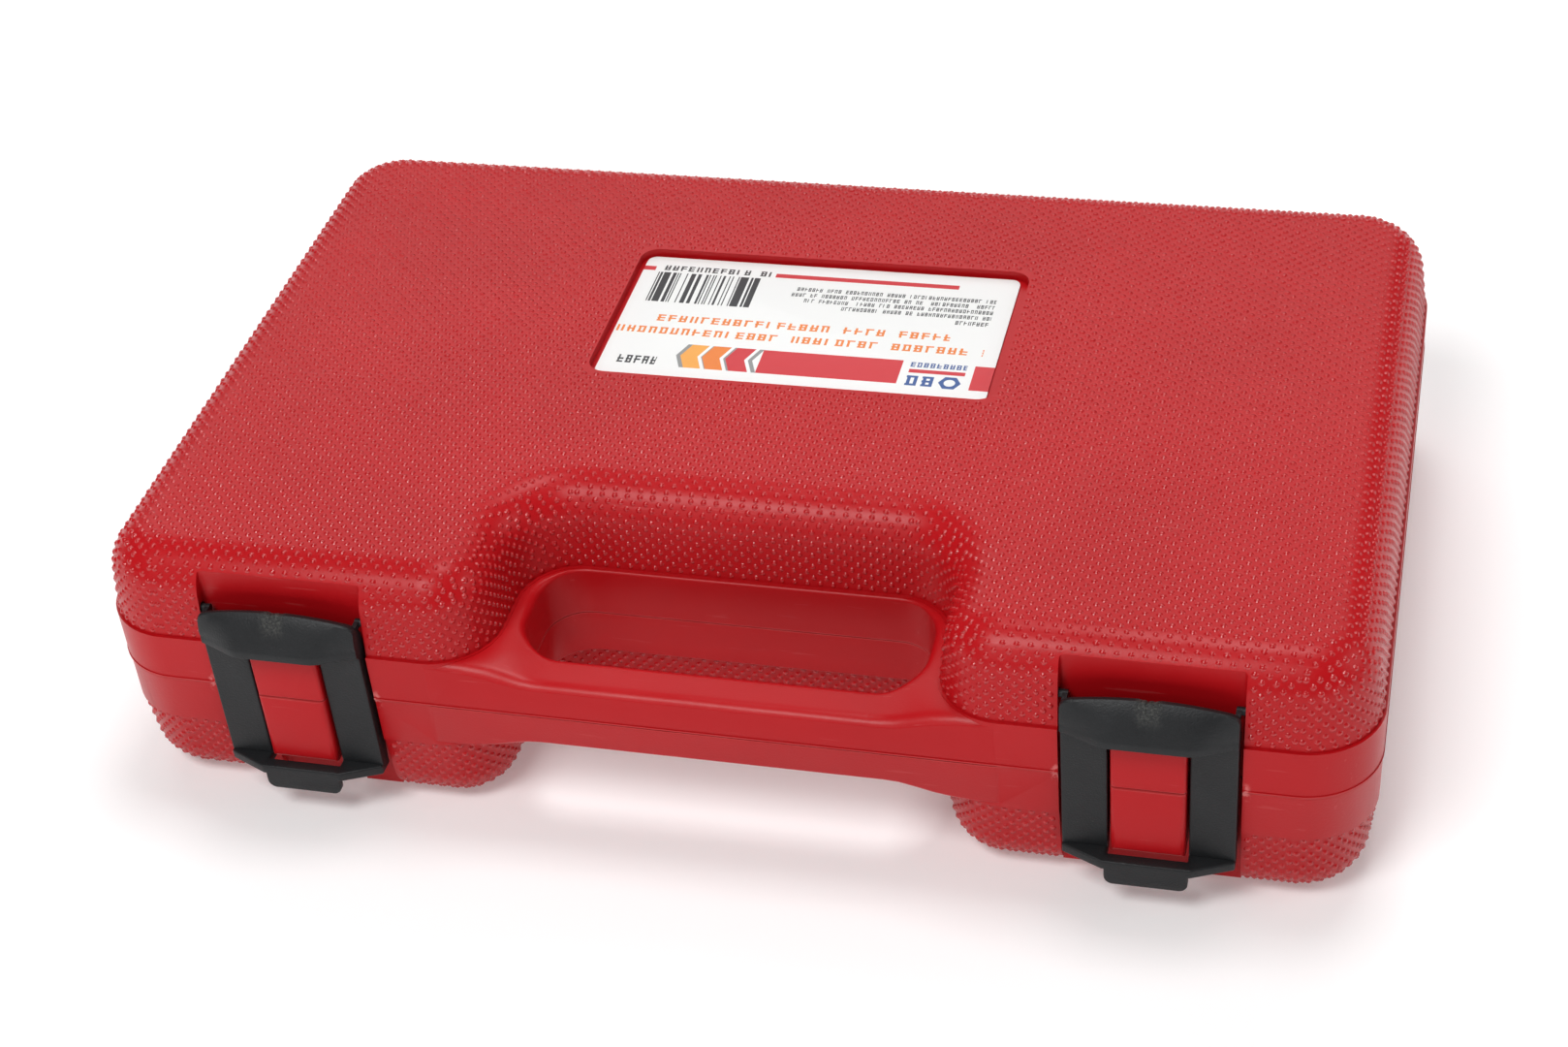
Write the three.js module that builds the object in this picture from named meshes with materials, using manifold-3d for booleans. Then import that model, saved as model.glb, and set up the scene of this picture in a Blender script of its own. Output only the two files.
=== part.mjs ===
// Socket set in a blow-moulded carrying case.
// Millimetres, +Z up. The origin is at the middle of the whole object's footprint, on the surface
// that the case lies on. The handle and the latches face -Y, and the lid hinges at +Y.
import * as THREE from 'three';
import { mergeVertices } from 'three/addons/utils/BufferGeometryUtils.js';
import Module from 'manifold-3d';

const wasm = await Module();
wasm.setup();

const caseSize = {
  width: 320,
  depth: 204,
  halfHeight: 37,     // each half, from its outer face to the parting plane
  frontCorner: 19,
  backCorner: 20,
  wall: 2.2,
  partingGap: 0.15,   // each half stands this far off the parting plane
};
const band = { height: 13.7, ledge: 1.0 };
const edgeRound = { inset: 14.2, radius: 12, start: 10, steps: 4 };
const notch = { halfWidth: 54.5, depth: 41.5, lobeRadius: 17, innerRadius: 14 };
const handle = { halfLength: 75, depth: 11.5, height: 10, shoulderFront: 5, roundDepth: 3.2, roundDrop: 2.2 };
const slot = { halfWidth: 51, corner: 11 };
const bay = { inset: 9.5, lidHeight: 24, baseHeight: 8 };
const blowHole = { radius: 3, inset: 6.2, depth: 8 };
const labelRecess = { halfWidth: 54.9, front: 95.4, back: 154.9, depth: 3, corner: 5 };
const label = { left: -53.4, right: 52.2, front: 96.8, back: 153.8, thickness: 0.25, corner: 2.5, lift: 0.3 };
const hinge = {
  radius: 3.2,
  offset: 3.5,
  pinRadius: 1.2,
  boreRadius: 1.55,
  centreX: 92,
  knuckle: 12,
  gap: 0.4,
};
const recess = {
  halfWidth: 21.5,
  floor: 5.4,
  reach: 33.4,
  panelBack: 13,
  cutHalf: 11.5,
  cutStart: 24,
  cutDepth: 3.5,
};
const block = { halfWidth: 8.9, baseFace: 3, lidFace: 2.6, lidTop: 13, baseFoot: 20.6 };
const latch = {
  centreX: 107.4,
  halfWidth: 20.6,
  windowHalf: 9.6,
  pivotHeight: 22.3,
  pivotInset: 3.6,
  trunnionRadius: 1.2,
  webFront: 0.5,
  webHalf: 1.1,
  trunnionReach: 2.2,
  barFront: -1.5,
  barBack: 2.6,
  barFoot: 22,
  ledgeFront: -6.7,
  ledgeTop: 20.9,
  ledgeFoot: 23.6,
  keeperBack: -3.4,
  tabHalf: 10,
  tabFoot: 28.2,
  tabBack: -4.4,
};
// Hood heights over the parting plane: its top at the middle, at the corners of the nose and at the ends.
const hood = {
  foot: 15,
  noseHalf: 10.5,
  middleTop: 26.5,
  noseTop: 25.9,
  endTop: 23.9,
  noseLift: 17.4,
  noseFoot: 15.4,
  lipFoot: 14.6,
  lipReach: 0.6,
  crestFront: -1.2,
  crestBack: 1,
  crestDrop: 0.6,
  backDrop: 2.4,
};
const socketLength = 85;
const socketSizes = [27, 30, 32, 34, 36];
const socketOuter = { 27: 38, 30: 42, 32: 44, 34: 47, 36: 50 };
const socketShape = {
  headLength: 50,
  shoulder: 6,
  neckRadius: 15,
  chamfer: 1.2,
  recessDepth: 28,
  boreDepth: 62,
  recessSpare: 0.4,   // the twelve-point recess over its nominal size, across flats
  boreEase: 1,        // the bore's radius under half the nominal size, at least
  neckWall: 4.5,
};
const socketRow = { gap: 7, front: 105, axisDrop: 4 };
const driveSquare = 12.9;
const driveDepth = 16;
const bitSizes = [14, 17, 19];
const bitHolder = { radius: 12.5, length: 26, chamfer: 1, pitch: 36, front: 53, axisDrop: 6, boreDepth: 8 };
const bitLength = 43;
const bitTipEase = 2;      // how much narrower a bit's tip is, across flats
const fit = 0.3;           // gap between pieces that touch
const trayClearance = 1;   // pocket walls around a tool
const lobeTray = { halfWidth: 36, centreX: 104, front: 20, back: 92, drop: 24, corner: 12 };

const frontY = -caseSize.depth / 2;
const partingZ = caseSize.halfHeight;
const lidSide = 1;
const baseSide = -1;

// ---------------------------------------------------------------- solids and geometries

function solidOf(geometry) {
  const bare = geometry.clone();
  bare.deleteAttribute('normal');
  bare.deleteAttribute('uv');
  const merged = mergeVertices(bare, 1e-4);
  const vertProperties = new Float32Array(merged.attributes.position.array);
  const triVerts = new Uint32Array(merged.index.array);
  return new wasm.Manifold(new wasm.Mesh({ numProp: 3, vertProperties, triVerts }));
}

function geometryOf(solid) {
  const mesh = solid.getMesh();
  const geometry = new THREE.BufferGeometry();
  geometry.setAttribute('position', new THREE.BufferAttribute(mesh.vertProperties, 3));
  geometry.setIndex(new THREE.BufferAttribute(mesh.triVerts, 1));
  geometry.computeVertexNormals();
  return geometry;
}

function enclosedVolume(points, triangles) {
  let total = 0;
  for (let i = 0; i < triangles.length; i += 3) {
    const a = points[triangles[i]];
    const b = points[triangles[i + 1]];
    const c = points[triangles[i + 2]];
    total += a.dot(b.clone().cross(c)) / 6;
  }
  return total;
}

// A closed solid through a row of outlines with equal counts; placePoint puts each point in space.
function loft(sections, placePoint) {
  const clockwise = THREE.ShapeUtils.isClockWise(sections[0]);
  const outlines = clockwise ? sections.map((section) => section.toReversed()) : sections;
  const count = outlines[0].length;
  const last = outlines.length - 1;
  const points = outlines.flatMap((outline, ring) => outline.map((point) => placePoint(point, ring)));
  const triangles = [];
  for (let ring = 0; ring < last; ring += 1) {
    for (let i = 0; i < count; i += 1) {
      const next = (i + 1) % count;
      const low = ring * count;
      const high = low + count;
      triangles.push(low + i, low + next, high + next);
      triangles.push(low + i, high + next, high + i);
    }
  }
  for (const [a, b, c] of THREE.ShapeUtils.triangulateShape(outlines[0], [])) {
    triangles.push(a, c, b);
  }
  for (const [a, b, c] of THREE.ShapeUtils.triangulateShape(outlines[last], [])) {
    triangles.push(last * count + a, last * count + b, last * count + c);
  }
  if (enclosedVolume(points, triangles) < 0) {
    triangles.reverse();
  }
  const geometry = new THREE.BufferGeometry().setFromPoints(points);
  geometry.setIndex(triangles);
  return solidOf(geometry);
}

function levelOf(side, height) {
  return partingZ + side * height;
}

// An upright block between two heights over the parting plane, on the lid's or the base's side.
function slab(side, x0, x1, y0, y1, height0, height1) {
  const geometry = new THREE.BoxGeometry(x1 - x0, y1 - y0, Math.abs(height1 - height0));
  geometry.translate((x0 + x1) / 2, (y0 + y1) / 2, levelOf(side, (height0 + height1) / 2));
  return solidOf(geometry);
}

function prism(side, shape, height0, height1, divisions = 3) {
  const outline = shape.getPoints(divisions).slice(0, -1);
  const heights = [height0, height1];
  return loft([outline, outline], (point, ring) => (
    new THREE.Vector3(point.x, point.y, levelOf(side, heights[ring]))
  ));
}

function rodAlongX(radius, x0, x1, y, z, sides = 16) {
  const geometry = new THREE.CylinderGeometry(radius, radius, x1 - x0, sides);
  geometry.rotateZ(Math.PI / 2);
  geometry.translate((x0 + x1) / 2, y, z);
  return solidOf(geometry);
}

function rodAlongY(radius, y0, y1, x, z, sides = 24) {
  const geometry = new THREE.CylinderGeometry(radius, radius, y1 - y0, sides);
  geometry.translate(x, (y0 + y1) / 2, z);
  return solidOf(geometry);
}

// ---------------------------------------------------------------- the case's outlines

// The plan of a case half, moved inwards by inset, with the U-shaped notch behind the handle.
function caseOutline(inset) {
  const halfX = caseSize.width / 2 - inset;
  const front = frontY + inset;
  const back = caseSize.depth / 2 - inset;
  const frontR = caseSize.frontCorner - inset;
  const backR = caseSize.backCorner - inset;
  const notchX = notch.halfWidth + inset;
  const notchY = frontY + notch.depth + inset;
  const lobeR = notch.lobeRadius - inset;
  const innerR = notch.innerRadius + inset;
  const turn = Math.PI / 2;
  const shape = new THREE.Shape();
  shape.absarc(-halfX + frontR, front + frontR, frontR, 2 * turn, 3 * turn, false);
  shape.absarc(-notchX - lobeR, front + lobeR, lobeR, -turn, 0, false);
  shape.absarc(-notchX + innerR, notchY - innerR, innerR, 2 * turn, turn, true);
  shape.absarc(notchX - innerR, notchY - innerR, innerR, turn, 0, true);
  shape.absarc(notchX + lobeR, front + lobeR, lobeR, 2 * turn, 3 * turn, false);
  shape.absarc(halfX - frontR, front + frontR, frontR, -turn, 0, false);
  shape.absarc(halfX - backR, back - backR, backR, 0, turn, false);
  shape.absarc(-halfX + backR, back - backR, backR, turn, 2 * turn, false);
  return shape.getPoints(3);
}

function roundedRectangle(x0, x1, y0, y1, radius) {
  const turn = Math.PI / 2;
  const shape = new THREE.Shape();
  shape.absarc(x1 - radius, y0 + radius, radius, -turn, 0, false);
  shape.absarc(x1 - radius, y1 - radius, radius, 0, turn, false);
  shape.absarc(x0 + radius, y1 - radius, radius, turn, 2 * turn, false);
  shape.absarc(x0 + radius, y0 + radius, radius, 2 * turn, 3 * turn, false);
  shape.closePath();
  return shape;
}

// Steps of [inset, height] up the outside of a half: band, ledge, drafted wall, rounded edge.
function outerSteps(wall) {
  const steps = [[wall, caseSize.partingGap + wall], [wall, band.height - wall / 2]];
  steps.push([band.ledge + wall, band.height - wall / 2]);
  const centreHeight = caseSize.halfHeight - edgeRound.radius;
  const radius = edgeRound.radius - wall;
  for (let i = 0; i <= edgeRound.steps; i += 1) {
    const share = i / edgeRound.steps;
    const angle = THREE.MathUtils.degToRad(edgeRound.start + share * (90 - edgeRound.start));
    steps.push([edgeRound.inset - radius * Math.cos(angle), centreHeight + radius * Math.sin(angle)]);
  }
  return steps;
}

function steppedSolid(side, steps) {
  const outlines = steps.map(([inset]) => caseOutline(inset));
  return loft(outlines, (point, ring) => (
    new THREE.Vector3(point.x, point.y, levelOf(side, steps[ring][1]))
  ));
}

function outlinePrism(side, inset, height0, height1) {
  return steppedSolid(side, [[inset, height0], [inset, height1]]);
}

// ---------------------------------------------------------------- features of a case half

function handleHalf(side) {
  const { halfLength, depth, height, roundDepth, roundDrop } = handle;
  const [easeDepth, easeDrop] = [0.28 * roundDepth, 0.32 * roundDrop];
  const section = [
    [0, caseSize.partingGap], [0, height - roundDrop], [easeDepth, height - easeDrop], [roundDepth, height],
    [depth - roundDepth, height], [depth - easeDepth, height - easeDrop], [depth, height - roundDrop],
    [depth, caseSize.partingGap],
  ].map(([y, h]) => new THREE.Vector2(y, h));
  const ends = [-halfLength, halfLength];
  const bar = loft([section, section], (point, ring) => (
    new THREE.Vector3(ends[ring], frontY + point.x, levelOf(side, point.y))
  ));
  const shoulderBack = frontY + notch.depth + 1;
  const shoulder = slab(side, -halfLength, halfLength, frontY + handle.shoulderFront, shoulderBack,
    caseSize.partingGap, height);
  return bar.add(shoulder);
}

function slotCut(side) {
  const opening = roundedRectangle(-slot.halfWidth, slot.halfWidth, frontY + handle.depth,
    frontY + notch.depth, slot.corner);
  return prism(side, opening, -1, band.height + 1);
}

function latchCentres() {
  return [-latch.centreX, latch.centreX];
}

function latchRecess(side, centreX, wall) {
  const half = recess.halfWidth + wall;
  const top = side === lidSide ? caseSize.halfHeight + 1 : recess.reach + 4;
  return slab(side, centreX - half, centreX + half, frontY - 1, frontY + recess.floor + wall, -1, top);
}

function knuckleStarts(side) {
  const pitch = hinge.knuckle + hinge.gap;
  const places = side === baseSide ? [-2, 0, 2] : [-1, 1];
  return places.map((place) => place * pitch - hinge.knuckle / 2);
}

function knuckles(side) {
  const axisY = caseSize.depth / 2 + hinge.offset;
  let solid = null;
  for (const centreX of [-hinge.centreX, hinge.centreX]) {
    for (const start of knuckleStarts(side)) {
      const x0 = centreX + start;
      const x1 = x0 + hinge.knuckle;
      const web = slab(side, x0, x1, axisY - hinge.offset - 1, axisY, caseSize.partingGap, hinge.radius);
      const knuckle = rodAlongX(hinge.radius, x0, x1, axisY, partingZ).add(web);
      solid = solid ? solid.add(knuckle) : knuckle;
    }
  }
  return solid;
}

function pinBores() {
  const axisY = caseSize.depth / 2 + hinge.offset;
  const reach = 3 * hinge.knuckle;
  const left = rodAlongX(hinge.boreRadius, -hinge.centreX - reach, -hinge.centreX + reach, axisY, partingZ);
  const right = rodAlongX(hinge.boreRadius, hinge.centreX - reach, hinge.centreX + reach, axisY, partingZ);
  return left.add(right);
}

function blowHoleCut(side) {
  const geometry = new THREE.CylinderGeometry(blowHole.radius, blowHole.radius, blowHole.depth, 12);
  geometry.rotateX(Math.PI / 2);
  geometry.translate(0, caseSize.depth / 2 - blowHole.inset, levelOf(side, 2));
  return solidOf(geometry);
}

// The hollow between the outer skin and the inner wall of a half.
function hollow(side, innerWall) {
  let space = steppedSolid(side, outerSteps(caseSize.wall)).subtract(innerWall);
  for (const centreX of latchCentres()) {
    space = space.subtract(latchRecess(side, centreX, caseSize.wall));
  }
  return space;
}

function outerHalf(side) {
  const steps = outerSteps(0);
  let solid = steppedSolid(side, steps).add(handleHalf(side)).subtract(slotCut(side));
  for (const centreX of latchCentres()) {
    solid = solid.subtract(latchRecess(side, centreX, 0));
  }
  return solid;
}

// ---------------------------------------------------------------- lid

function trunnionBores(centreX) {
  const reach = recess.halfWidth + caseSize.wall + 1;
  return rodAlongX(latch.trunnionRadius + fit, centreX - reach, centreX + reach,
    frontY + latch.pivotInset, levelOf(lidSide, latch.pivotHeight));
}

function labelPocket(wall) {
  const pocket = roundedRectangle(-labelRecess.halfWidth - wall, labelRecess.halfWidth + wall,
    frontY + labelRecess.front - wall, frontY + labelRecess.back + wall, labelRecess.corner + wall);
  return prism(lidSide, pocket, caseSize.halfHeight - labelRecess.depth - wall, caseSize.halfHeight + 1);
}

function lidShell() {
  const { wall, partingGap } = caseSize;
  const innerWall = outlinePrism(lidSide, bay.inset - wall, partingGap, bay.lidHeight + wall);
  const inside = outlinePrism(lidSide, bay.inset, -1, bay.lidHeight);
  const space = hollow(lidSide, innerWall).subtract(labelPocket(wall));
  let solid = outerHalf(lidSide).subtract(labelPocket(0));
  for (const centreX of latchCentres()) {
    const catchBlock = slab(lidSide, centreX - block.halfWidth, centreX + block.halfWidth,
      frontY - block.lidFace, frontY + recess.floor + 1, partingGap, block.lidTop);
    solid = solid.add(catchBlock).subtract(trunnionBores(centreX));
  }
  solid = solid.add(knuckles(lidSide)).subtract(pinBores());
  return solid.subtract(space).subtract(inside).subtract(blowHoleCut(lidSide));
}

// ---------------------------------------------------------------- tools in the tray

function socketCentres() {
  const widths = socketSizes.map((size) => socketOuter[size]);
  const total = widths.reduce((sum, width) => sum + width, 0) + socketRow.gap * (widths.length - 1);
  let edge = -total / 2;
  return widths.map((width) => {
    const centre = edge + width / 2;
    edge += width + socketRow.gap;
    return centre;
  });
}

function turned(profile, sides) {
  const points = profile.map(([radius, along]) => new THREE.Vector2(radius, along));
  return solidOf(new THREE.LatheGeometry(points, sides));
}

// A prism along Y with its outline in the XZ plane.
function prismAlongY(outline, y0, y1) {
  const ends = [y0, y1];
  return loft([outline, outline], (point, ring) => new THREE.Vector3(point.x, ends[ring], point.y));
}

const notchEase = 0.985;   // the inner corners of a twelve-point recess, a little deeper than the flats

function twelvePoint(acrossFlats) {
  const outer = acrossFlats / 2 / Math.cos(Math.PI / 6);
  const inner = outer * Math.cos(Math.PI / 6) / Math.cos(Math.PI / 12);
  return Array.from({ length: 24 }, (_, i) => {
    const radius = i % 2 === 0 ? outer : inner * notchEase;
    const angle = i * Math.PI / 12;
    return new THREE.Vector2(radius * Math.cos(angle), radius * Math.sin(angle));
  });
}

function regular(sides, acrossFlats, turn = 0) {
  const radius = acrossFlats / 2 / Math.cos(Math.PI / sides);
  return Array.from({ length: sides }, (_, i) => {
    const angle = turn + i * 2 * Math.PI / sides;
    return new THREE.Vector2(radius * Math.cos(angle), radius * Math.sin(angle));
  });
}

// A deep socket with its mouth at y = 0 and its square drive at y = socketLength.
function deepSocket(size) {
  const headR = socketOuter[size] / 2;
  const { headLength, shoulder, neckRadius, chamfer, recessDepth, boreDepth } = socketShape;
  const { recessSpare, boreEase, neckWall } = socketShape;
  const boreRadius = Math.min(size / 2 - boreEase, neckRadius - neckWall);
  const body = turned([
    [0, 0], [headR - chamfer, 0], [headR, chamfer], [headR, headLength], [neckRadius, headLength + shoulder],
    [neckRadius, socketLength - chamfer], [neckRadius - chamfer, socketLength], [0, socketLength],
  ], 24);
  const mouth = prismAlongY(twelvePoint(size + recessSpare), -1, recessDepth);
  const bore = rodAlongY(boreRadius, recessDepth - 1, boreDepth, 0, 0, 16);
  const drive = prismAlongY(regular(4, driveSquare, Math.PI / 4), boreDepth - 1, socketLength + 1);
  return geometryOf(body.subtract(mouth).subtract(bore).subtract(drive));
}

// The holder of a hex bit: square drive at its back end, hexagonal bore at its front.
function hexHolder(size) {
  const { radius, length, chamfer, boreDepth } = bitHolder;
  const body = turned([
    [0, 0], [radius - chamfer, 0], [radius, chamfer], [radius, length - chamfer],
    [radius - chamfer, length], [0, length],
  ], 24);
  const bore = prismAlongY(regular(6, size + 2 * fit), -1, boreDepth);
  const drive = prismAlongY(regular(4, driveSquare, Math.PI / 4), length - driveDepth, length + 1);
  return geometryOf(body.subtract(bore).subtract(drive));
}

function hexBit(size) {
  const tip = regular(6, size - bitTipEase);
  const full = regular(6, size);
  const stops = [0, 1, bitLength - bitHolder.length + bitHolder.boreDepth - fit];
  const outlines = [tip, full, full];
  return geometryOf(loft(outlines, (point, ring) => new THREE.Vector3(point.x, stops[ring], point.y)));
}

// ---------------------------------------------------------------- base

function toolPockets(grow) {
  const spare = trayClearance + grow;
  const axisZ = levelOf(baseSide, socketRow.axisDrop);
  const y0 = frontY + socketRow.front;
  let cut = null;
  const join = (solid) => {
    cut = cut ? cut.add(solid) : solid;
  };
  socketCentres().forEach((x, i) => {
    const headR = socketOuter[socketSizes[i]] / 2 + spare;
    const split = y0 + socketShape.headLength + socketShape.shoulder;
    join(rodAlongY(headR, y0 - spare, split + spare, x, axisZ));
    join(rodAlongY(socketShape.neckRadius + spare, split, y0 + socketLength + spare, x, axisZ));
  });
  const bitZ = levelOf(baseSide, bitHolder.axisDrop);
  bitSizes.forEach((size, i) => {
    const x = (i - 1) * bitHolder.pitch;
    const front = frontY + bitHolder.front;
    join(rodAlongY(bitHolder.radius + spare, front - spare, front + bitLength + spare, x, bitZ));
  });
  for (const centreX of [-lobeTray.centreX, lobeTray.centreX]) {
    const tray = roundedRectangle(centreX - lobeTray.halfWidth - grow, centreX + lobeTray.halfWidth + grow,
      frontY + lobeTray.front - grow, frontY + lobeTray.back + grow, lobeTray.corner + grow);
    join(prism(baseSide, tray, 1, lobeTray.drop + grow));
  }
  return cut;
}

function baseShell() {
  const { wall, partingGap } = caseSize;
  const innerWall = outlinePrism(baseSide, bay.inset - wall, partingGap, bay.baseHeight + wall);
  const inside = outlinePrism(baseSide, bay.inset, -1, bay.baseHeight);
  const space = hollow(baseSide, innerWall.add(toolPockets(wall)));
  let solid = outerHalf(baseSide);
  for (const centreX of latchCentres()) {
    const panel = slab(baseSide, centreX - recess.halfWidth, centreX + recess.halfWidth,
      frontY + recess.floor, frontY + recess.panelBack, recess.cutStart, recess.reach);
    const thumbCut = slab(baseSide, centreX - recess.cutHalf, centreX + recess.cutHalf,
      frontY, frontY + recess.floor + recess.cutDepth, recess.cutStart, caseSize.halfHeight);
    const keeper = slab(baseSide, centreX - block.halfWidth, centreX + block.halfWidth,
      frontY - block.baseFace, frontY + recess.floor + 1, partingGap, block.baseFoot);
    solid = solid.add(panel).subtract(thumbCut).add(keeper);
  }
  solid = solid.add(knuckles(baseSide)).subtract(pinBores());
  return solid.subtract(space).subtract(inside).subtract(toolPockets(0)).subtract(blowHoleCut(baseSide));
}

// ---------------------------------------------------------------- latches, pins and label

// A latch around x = 0, with y from the case's front face and z from the parting plane.
function hoodSection(topHeight, nose) {
  const points = [
    [latch.barBack, hood.foot], [latch.barBack, topHeight - hood.backDrop],
    [hood.crestBack, topHeight - hood.crestDrop], [hood.crestFront, topHeight],
    [nose, hood.noseLift], [nose, hood.noseFoot], [latch.barFront, hood.lipFoot],
  ];
  return points.map(([y, height]) => new THREE.Vector2(y, height));
}

function latchHood() {
  const endNose = latch.barFront - hood.lipReach;
  const stations = [-latch.halfWidth, -hood.noseHalf, 0, hood.noseHalf, latch.halfWidth];
  const end = hoodSection(hood.endTop, endNose);
  const corner = hoodSection(hood.noseTop, latch.ledgeFront);
  const middle = hoodSection(hood.middleTop, latch.ledgeFront);
  return loft([end, corner, middle, corner, end], (point, ring) => (
    new THREE.Vector3(stations[ring], point.x, point.y)
  ));
}

function latchLedge() {
  const { halfWidth, windowHalf, barBack, ledgeFront, ledgeTop, ledgeFoot, keeperBack } = latch;
  const endFront = latch.barFront - hood.lipReach;
  const outline = new THREE.Shape([
    new THREE.Vector2(-halfWidth, endFront), new THREE.Vector2(-hood.noseHalf, ledgeFront),
    new THREE.Vector2(hood.noseHalf, ledgeFront), new THREE.Vector2(halfWidth, endFront),
    new THREE.Vector2(halfWidth, barBack), new THREE.Vector2(windowHalf, barBack),
    new THREE.Vector2(windowHalf, keeperBack), new THREE.Vector2(-windowHalf, keeperBack),
    new THREE.Vector2(-windowHalf, barBack), new THREE.Vector2(-halfWidth, barBack),
  ]);
  const ledge = new THREE.ExtrudeGeometry(outline, { depth: ledgeFoot - ledgeTop, bevelEnabled: false });
  ledge.translate(0, 0, -ledgeFoot);
  return solidOf(ledge);
}

function latchSolid() {
  const { halfWidth, windowHalf, barFront, barBack, barFoot, trunnionReach } = latch;
  const reach = halfWidth + trunnionReach;
  const barTop = hood.foot + 1;
  const trunnions = rodAlongX(latch.trunnionRadius, -reach, reach, latch.pivotInset, latch.pivotHeight);
  let solid = latchHood().add(trunnions);
  const web = new THREE.BoxGeometry(2 * halfWidth, latch.pivotInset - latch.webFront, 2 * latch.webHalf);
  web.translate(0, (latch.pivotInset + latch.webFront) / 2, latch.pivotHeight);
  solid = solid.add(solidOf(web));
  for (const side of [-1, 1]) {
    const bar = new THREE.BoxGeometry(halfWidth - windowHalf, barBack - barFront, barTop + barFoot);
    bar.translate(side * (halfWidth + windowHalf) / 2, (barFront + barBack) / 2, (barTop - barFoot) / 2);
    solid = solid.add(solidOf(bar));
  }
  const tab = new THREE.BoxGeometry(2 * latch.tabHalf, latch.tabBack - latch.ledgeFront,
    latch.tabFoot - latch.ledgeTop);
  tab.translate(0, (latch.tabBack + latch.ledgeFront) / 2, -(latch.tabFoot + latch.ledgeTop) / 2);
  return solid.add(latchLedge()).add(solidOf(tab));
}

function hingePin() {
  const length = 5 * hinge.knuckle + 4 * hinge.gap;
  const pin = new THREE.CylinderGeometry(hinge.pinRadius, hinge.pinRadius, length, 16);
  return pin.rotateZ(Math.PI / 2);
}

function labelSheet() {
  const outline = roundedRectangle(label.left, label.right, label.front, label.back, label.corner);
  return new THREE.ExtrudeGeometry(outline, {
    depth: label.thickness,
    bevelEnabled: false,
    curveSegments: 3,
  });
}

// ---------------------------------------------------------------- materials and assembly

const redPlastic = { color: 0xbb1e20, roughness: 0.5, metalness: 0 };
const blackPlastic = { color: 0x2a2c2d, roughness: 0.55, metalness: 0 };
const bareSteel = { color: 0x9a9a9c, roughness: 0.35, metalness: 1 };
const satinChrome = { color: 0xc9cacc, roughness: 0.3, metalness: 1 };
const darkSteel = { color: 0x6c6a68, roughness: 0.45, metalness: 1 };
const printedPaper = { color: 0xf2f2f0, roughness: 0.6, metalness: 0 };

const carryingCase = new THREE.Group();

function addPiece(name, geometry, finish, x = 0, y = 0, z = 0) {
  const mesh = new THREE.Mesh(geometry, new THREE.MeshStandardMaterial(finish));
  mesh.name = name;
  mesh.position.set(x, y, z);
  carryingCase.add(mesh);
}

addPiece('base_shell', geometryOf(baseShell()), redPlastic);
addPiece('lid_shell', geometryOf(lidShell()), redPlastic);
addPiece('label', labelSheet(), printedPaper, 0, frontY,
  levelOf(lidSide, caseSize.halfHeight - labelRecess.depth + label.lift));

for (const [name, side] of [['left', -1], ['right', 1]]) {
  addPiece(`latch_${name}`, geometryOf(latchSolid()), blackPlastic, side * latch.centreX, frontY, partingZ);
  addPiece(`hinge_pin_${name}`, hingePin(), bareSteel, side * hinge.centreX,
    caseSize.depth / 2 + hinge.offset, partingZ);
}

socketCentres().forEach((x, i) => {
  const size = socketSizes[i];
  addPiece(`socket_${size}mm`, deepSocket(size), satinChrome, x, frontY + socketRow.front,
    levelOf(baseSide, socketRow.axisDrop));
});

bitSizes.forEach((size, i) => {
  const x = (i - 1) * bitHolder.pitch;
  const front = frontY + bitHolder.front;
  const z = levelOf(baseSide, bitHolder.axisDrop);
  addPiece(`hex_bit_${size}mm`, hexBit(size), darkSteel, x, front, z);
  addPiece(`hex_holder_${size}mm`, hexHolder(size), satinChrome, x, front + bitLength - bitHolder.length, z);
});

export default carryingCase;
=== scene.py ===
import math

import bpy
import numpy as np
from mathutils import Matrix, Vector


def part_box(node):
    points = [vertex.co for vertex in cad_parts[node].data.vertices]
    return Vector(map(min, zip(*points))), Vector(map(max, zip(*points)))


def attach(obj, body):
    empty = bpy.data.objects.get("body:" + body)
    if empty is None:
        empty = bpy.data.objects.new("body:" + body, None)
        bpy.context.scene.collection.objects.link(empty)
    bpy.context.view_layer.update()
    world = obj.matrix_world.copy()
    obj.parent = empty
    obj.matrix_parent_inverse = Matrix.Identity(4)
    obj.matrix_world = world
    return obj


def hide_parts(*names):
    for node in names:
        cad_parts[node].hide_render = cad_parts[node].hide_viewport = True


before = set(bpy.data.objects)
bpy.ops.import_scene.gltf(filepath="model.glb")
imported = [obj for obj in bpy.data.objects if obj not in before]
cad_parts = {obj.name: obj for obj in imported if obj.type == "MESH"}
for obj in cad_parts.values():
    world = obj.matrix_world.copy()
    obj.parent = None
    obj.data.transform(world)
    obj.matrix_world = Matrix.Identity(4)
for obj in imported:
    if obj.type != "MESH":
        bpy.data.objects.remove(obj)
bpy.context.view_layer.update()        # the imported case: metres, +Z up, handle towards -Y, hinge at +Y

mm = 0.001
partingHeight, halfDepth = 37, 102    # millimetres
partingZ = partingHeight * mm
frontY = -halfDepth * mm


cameraSetup = {
    "place": (0.16623, -0.56377, 0.48559),
    "right": (0.96949752, 0.23242331, -0.07780725),
    "up": (-0.08530542, 0.61757462, 0.78187248),
    "lens": 62.80,
    "sensor": 36.0,
}


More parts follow.
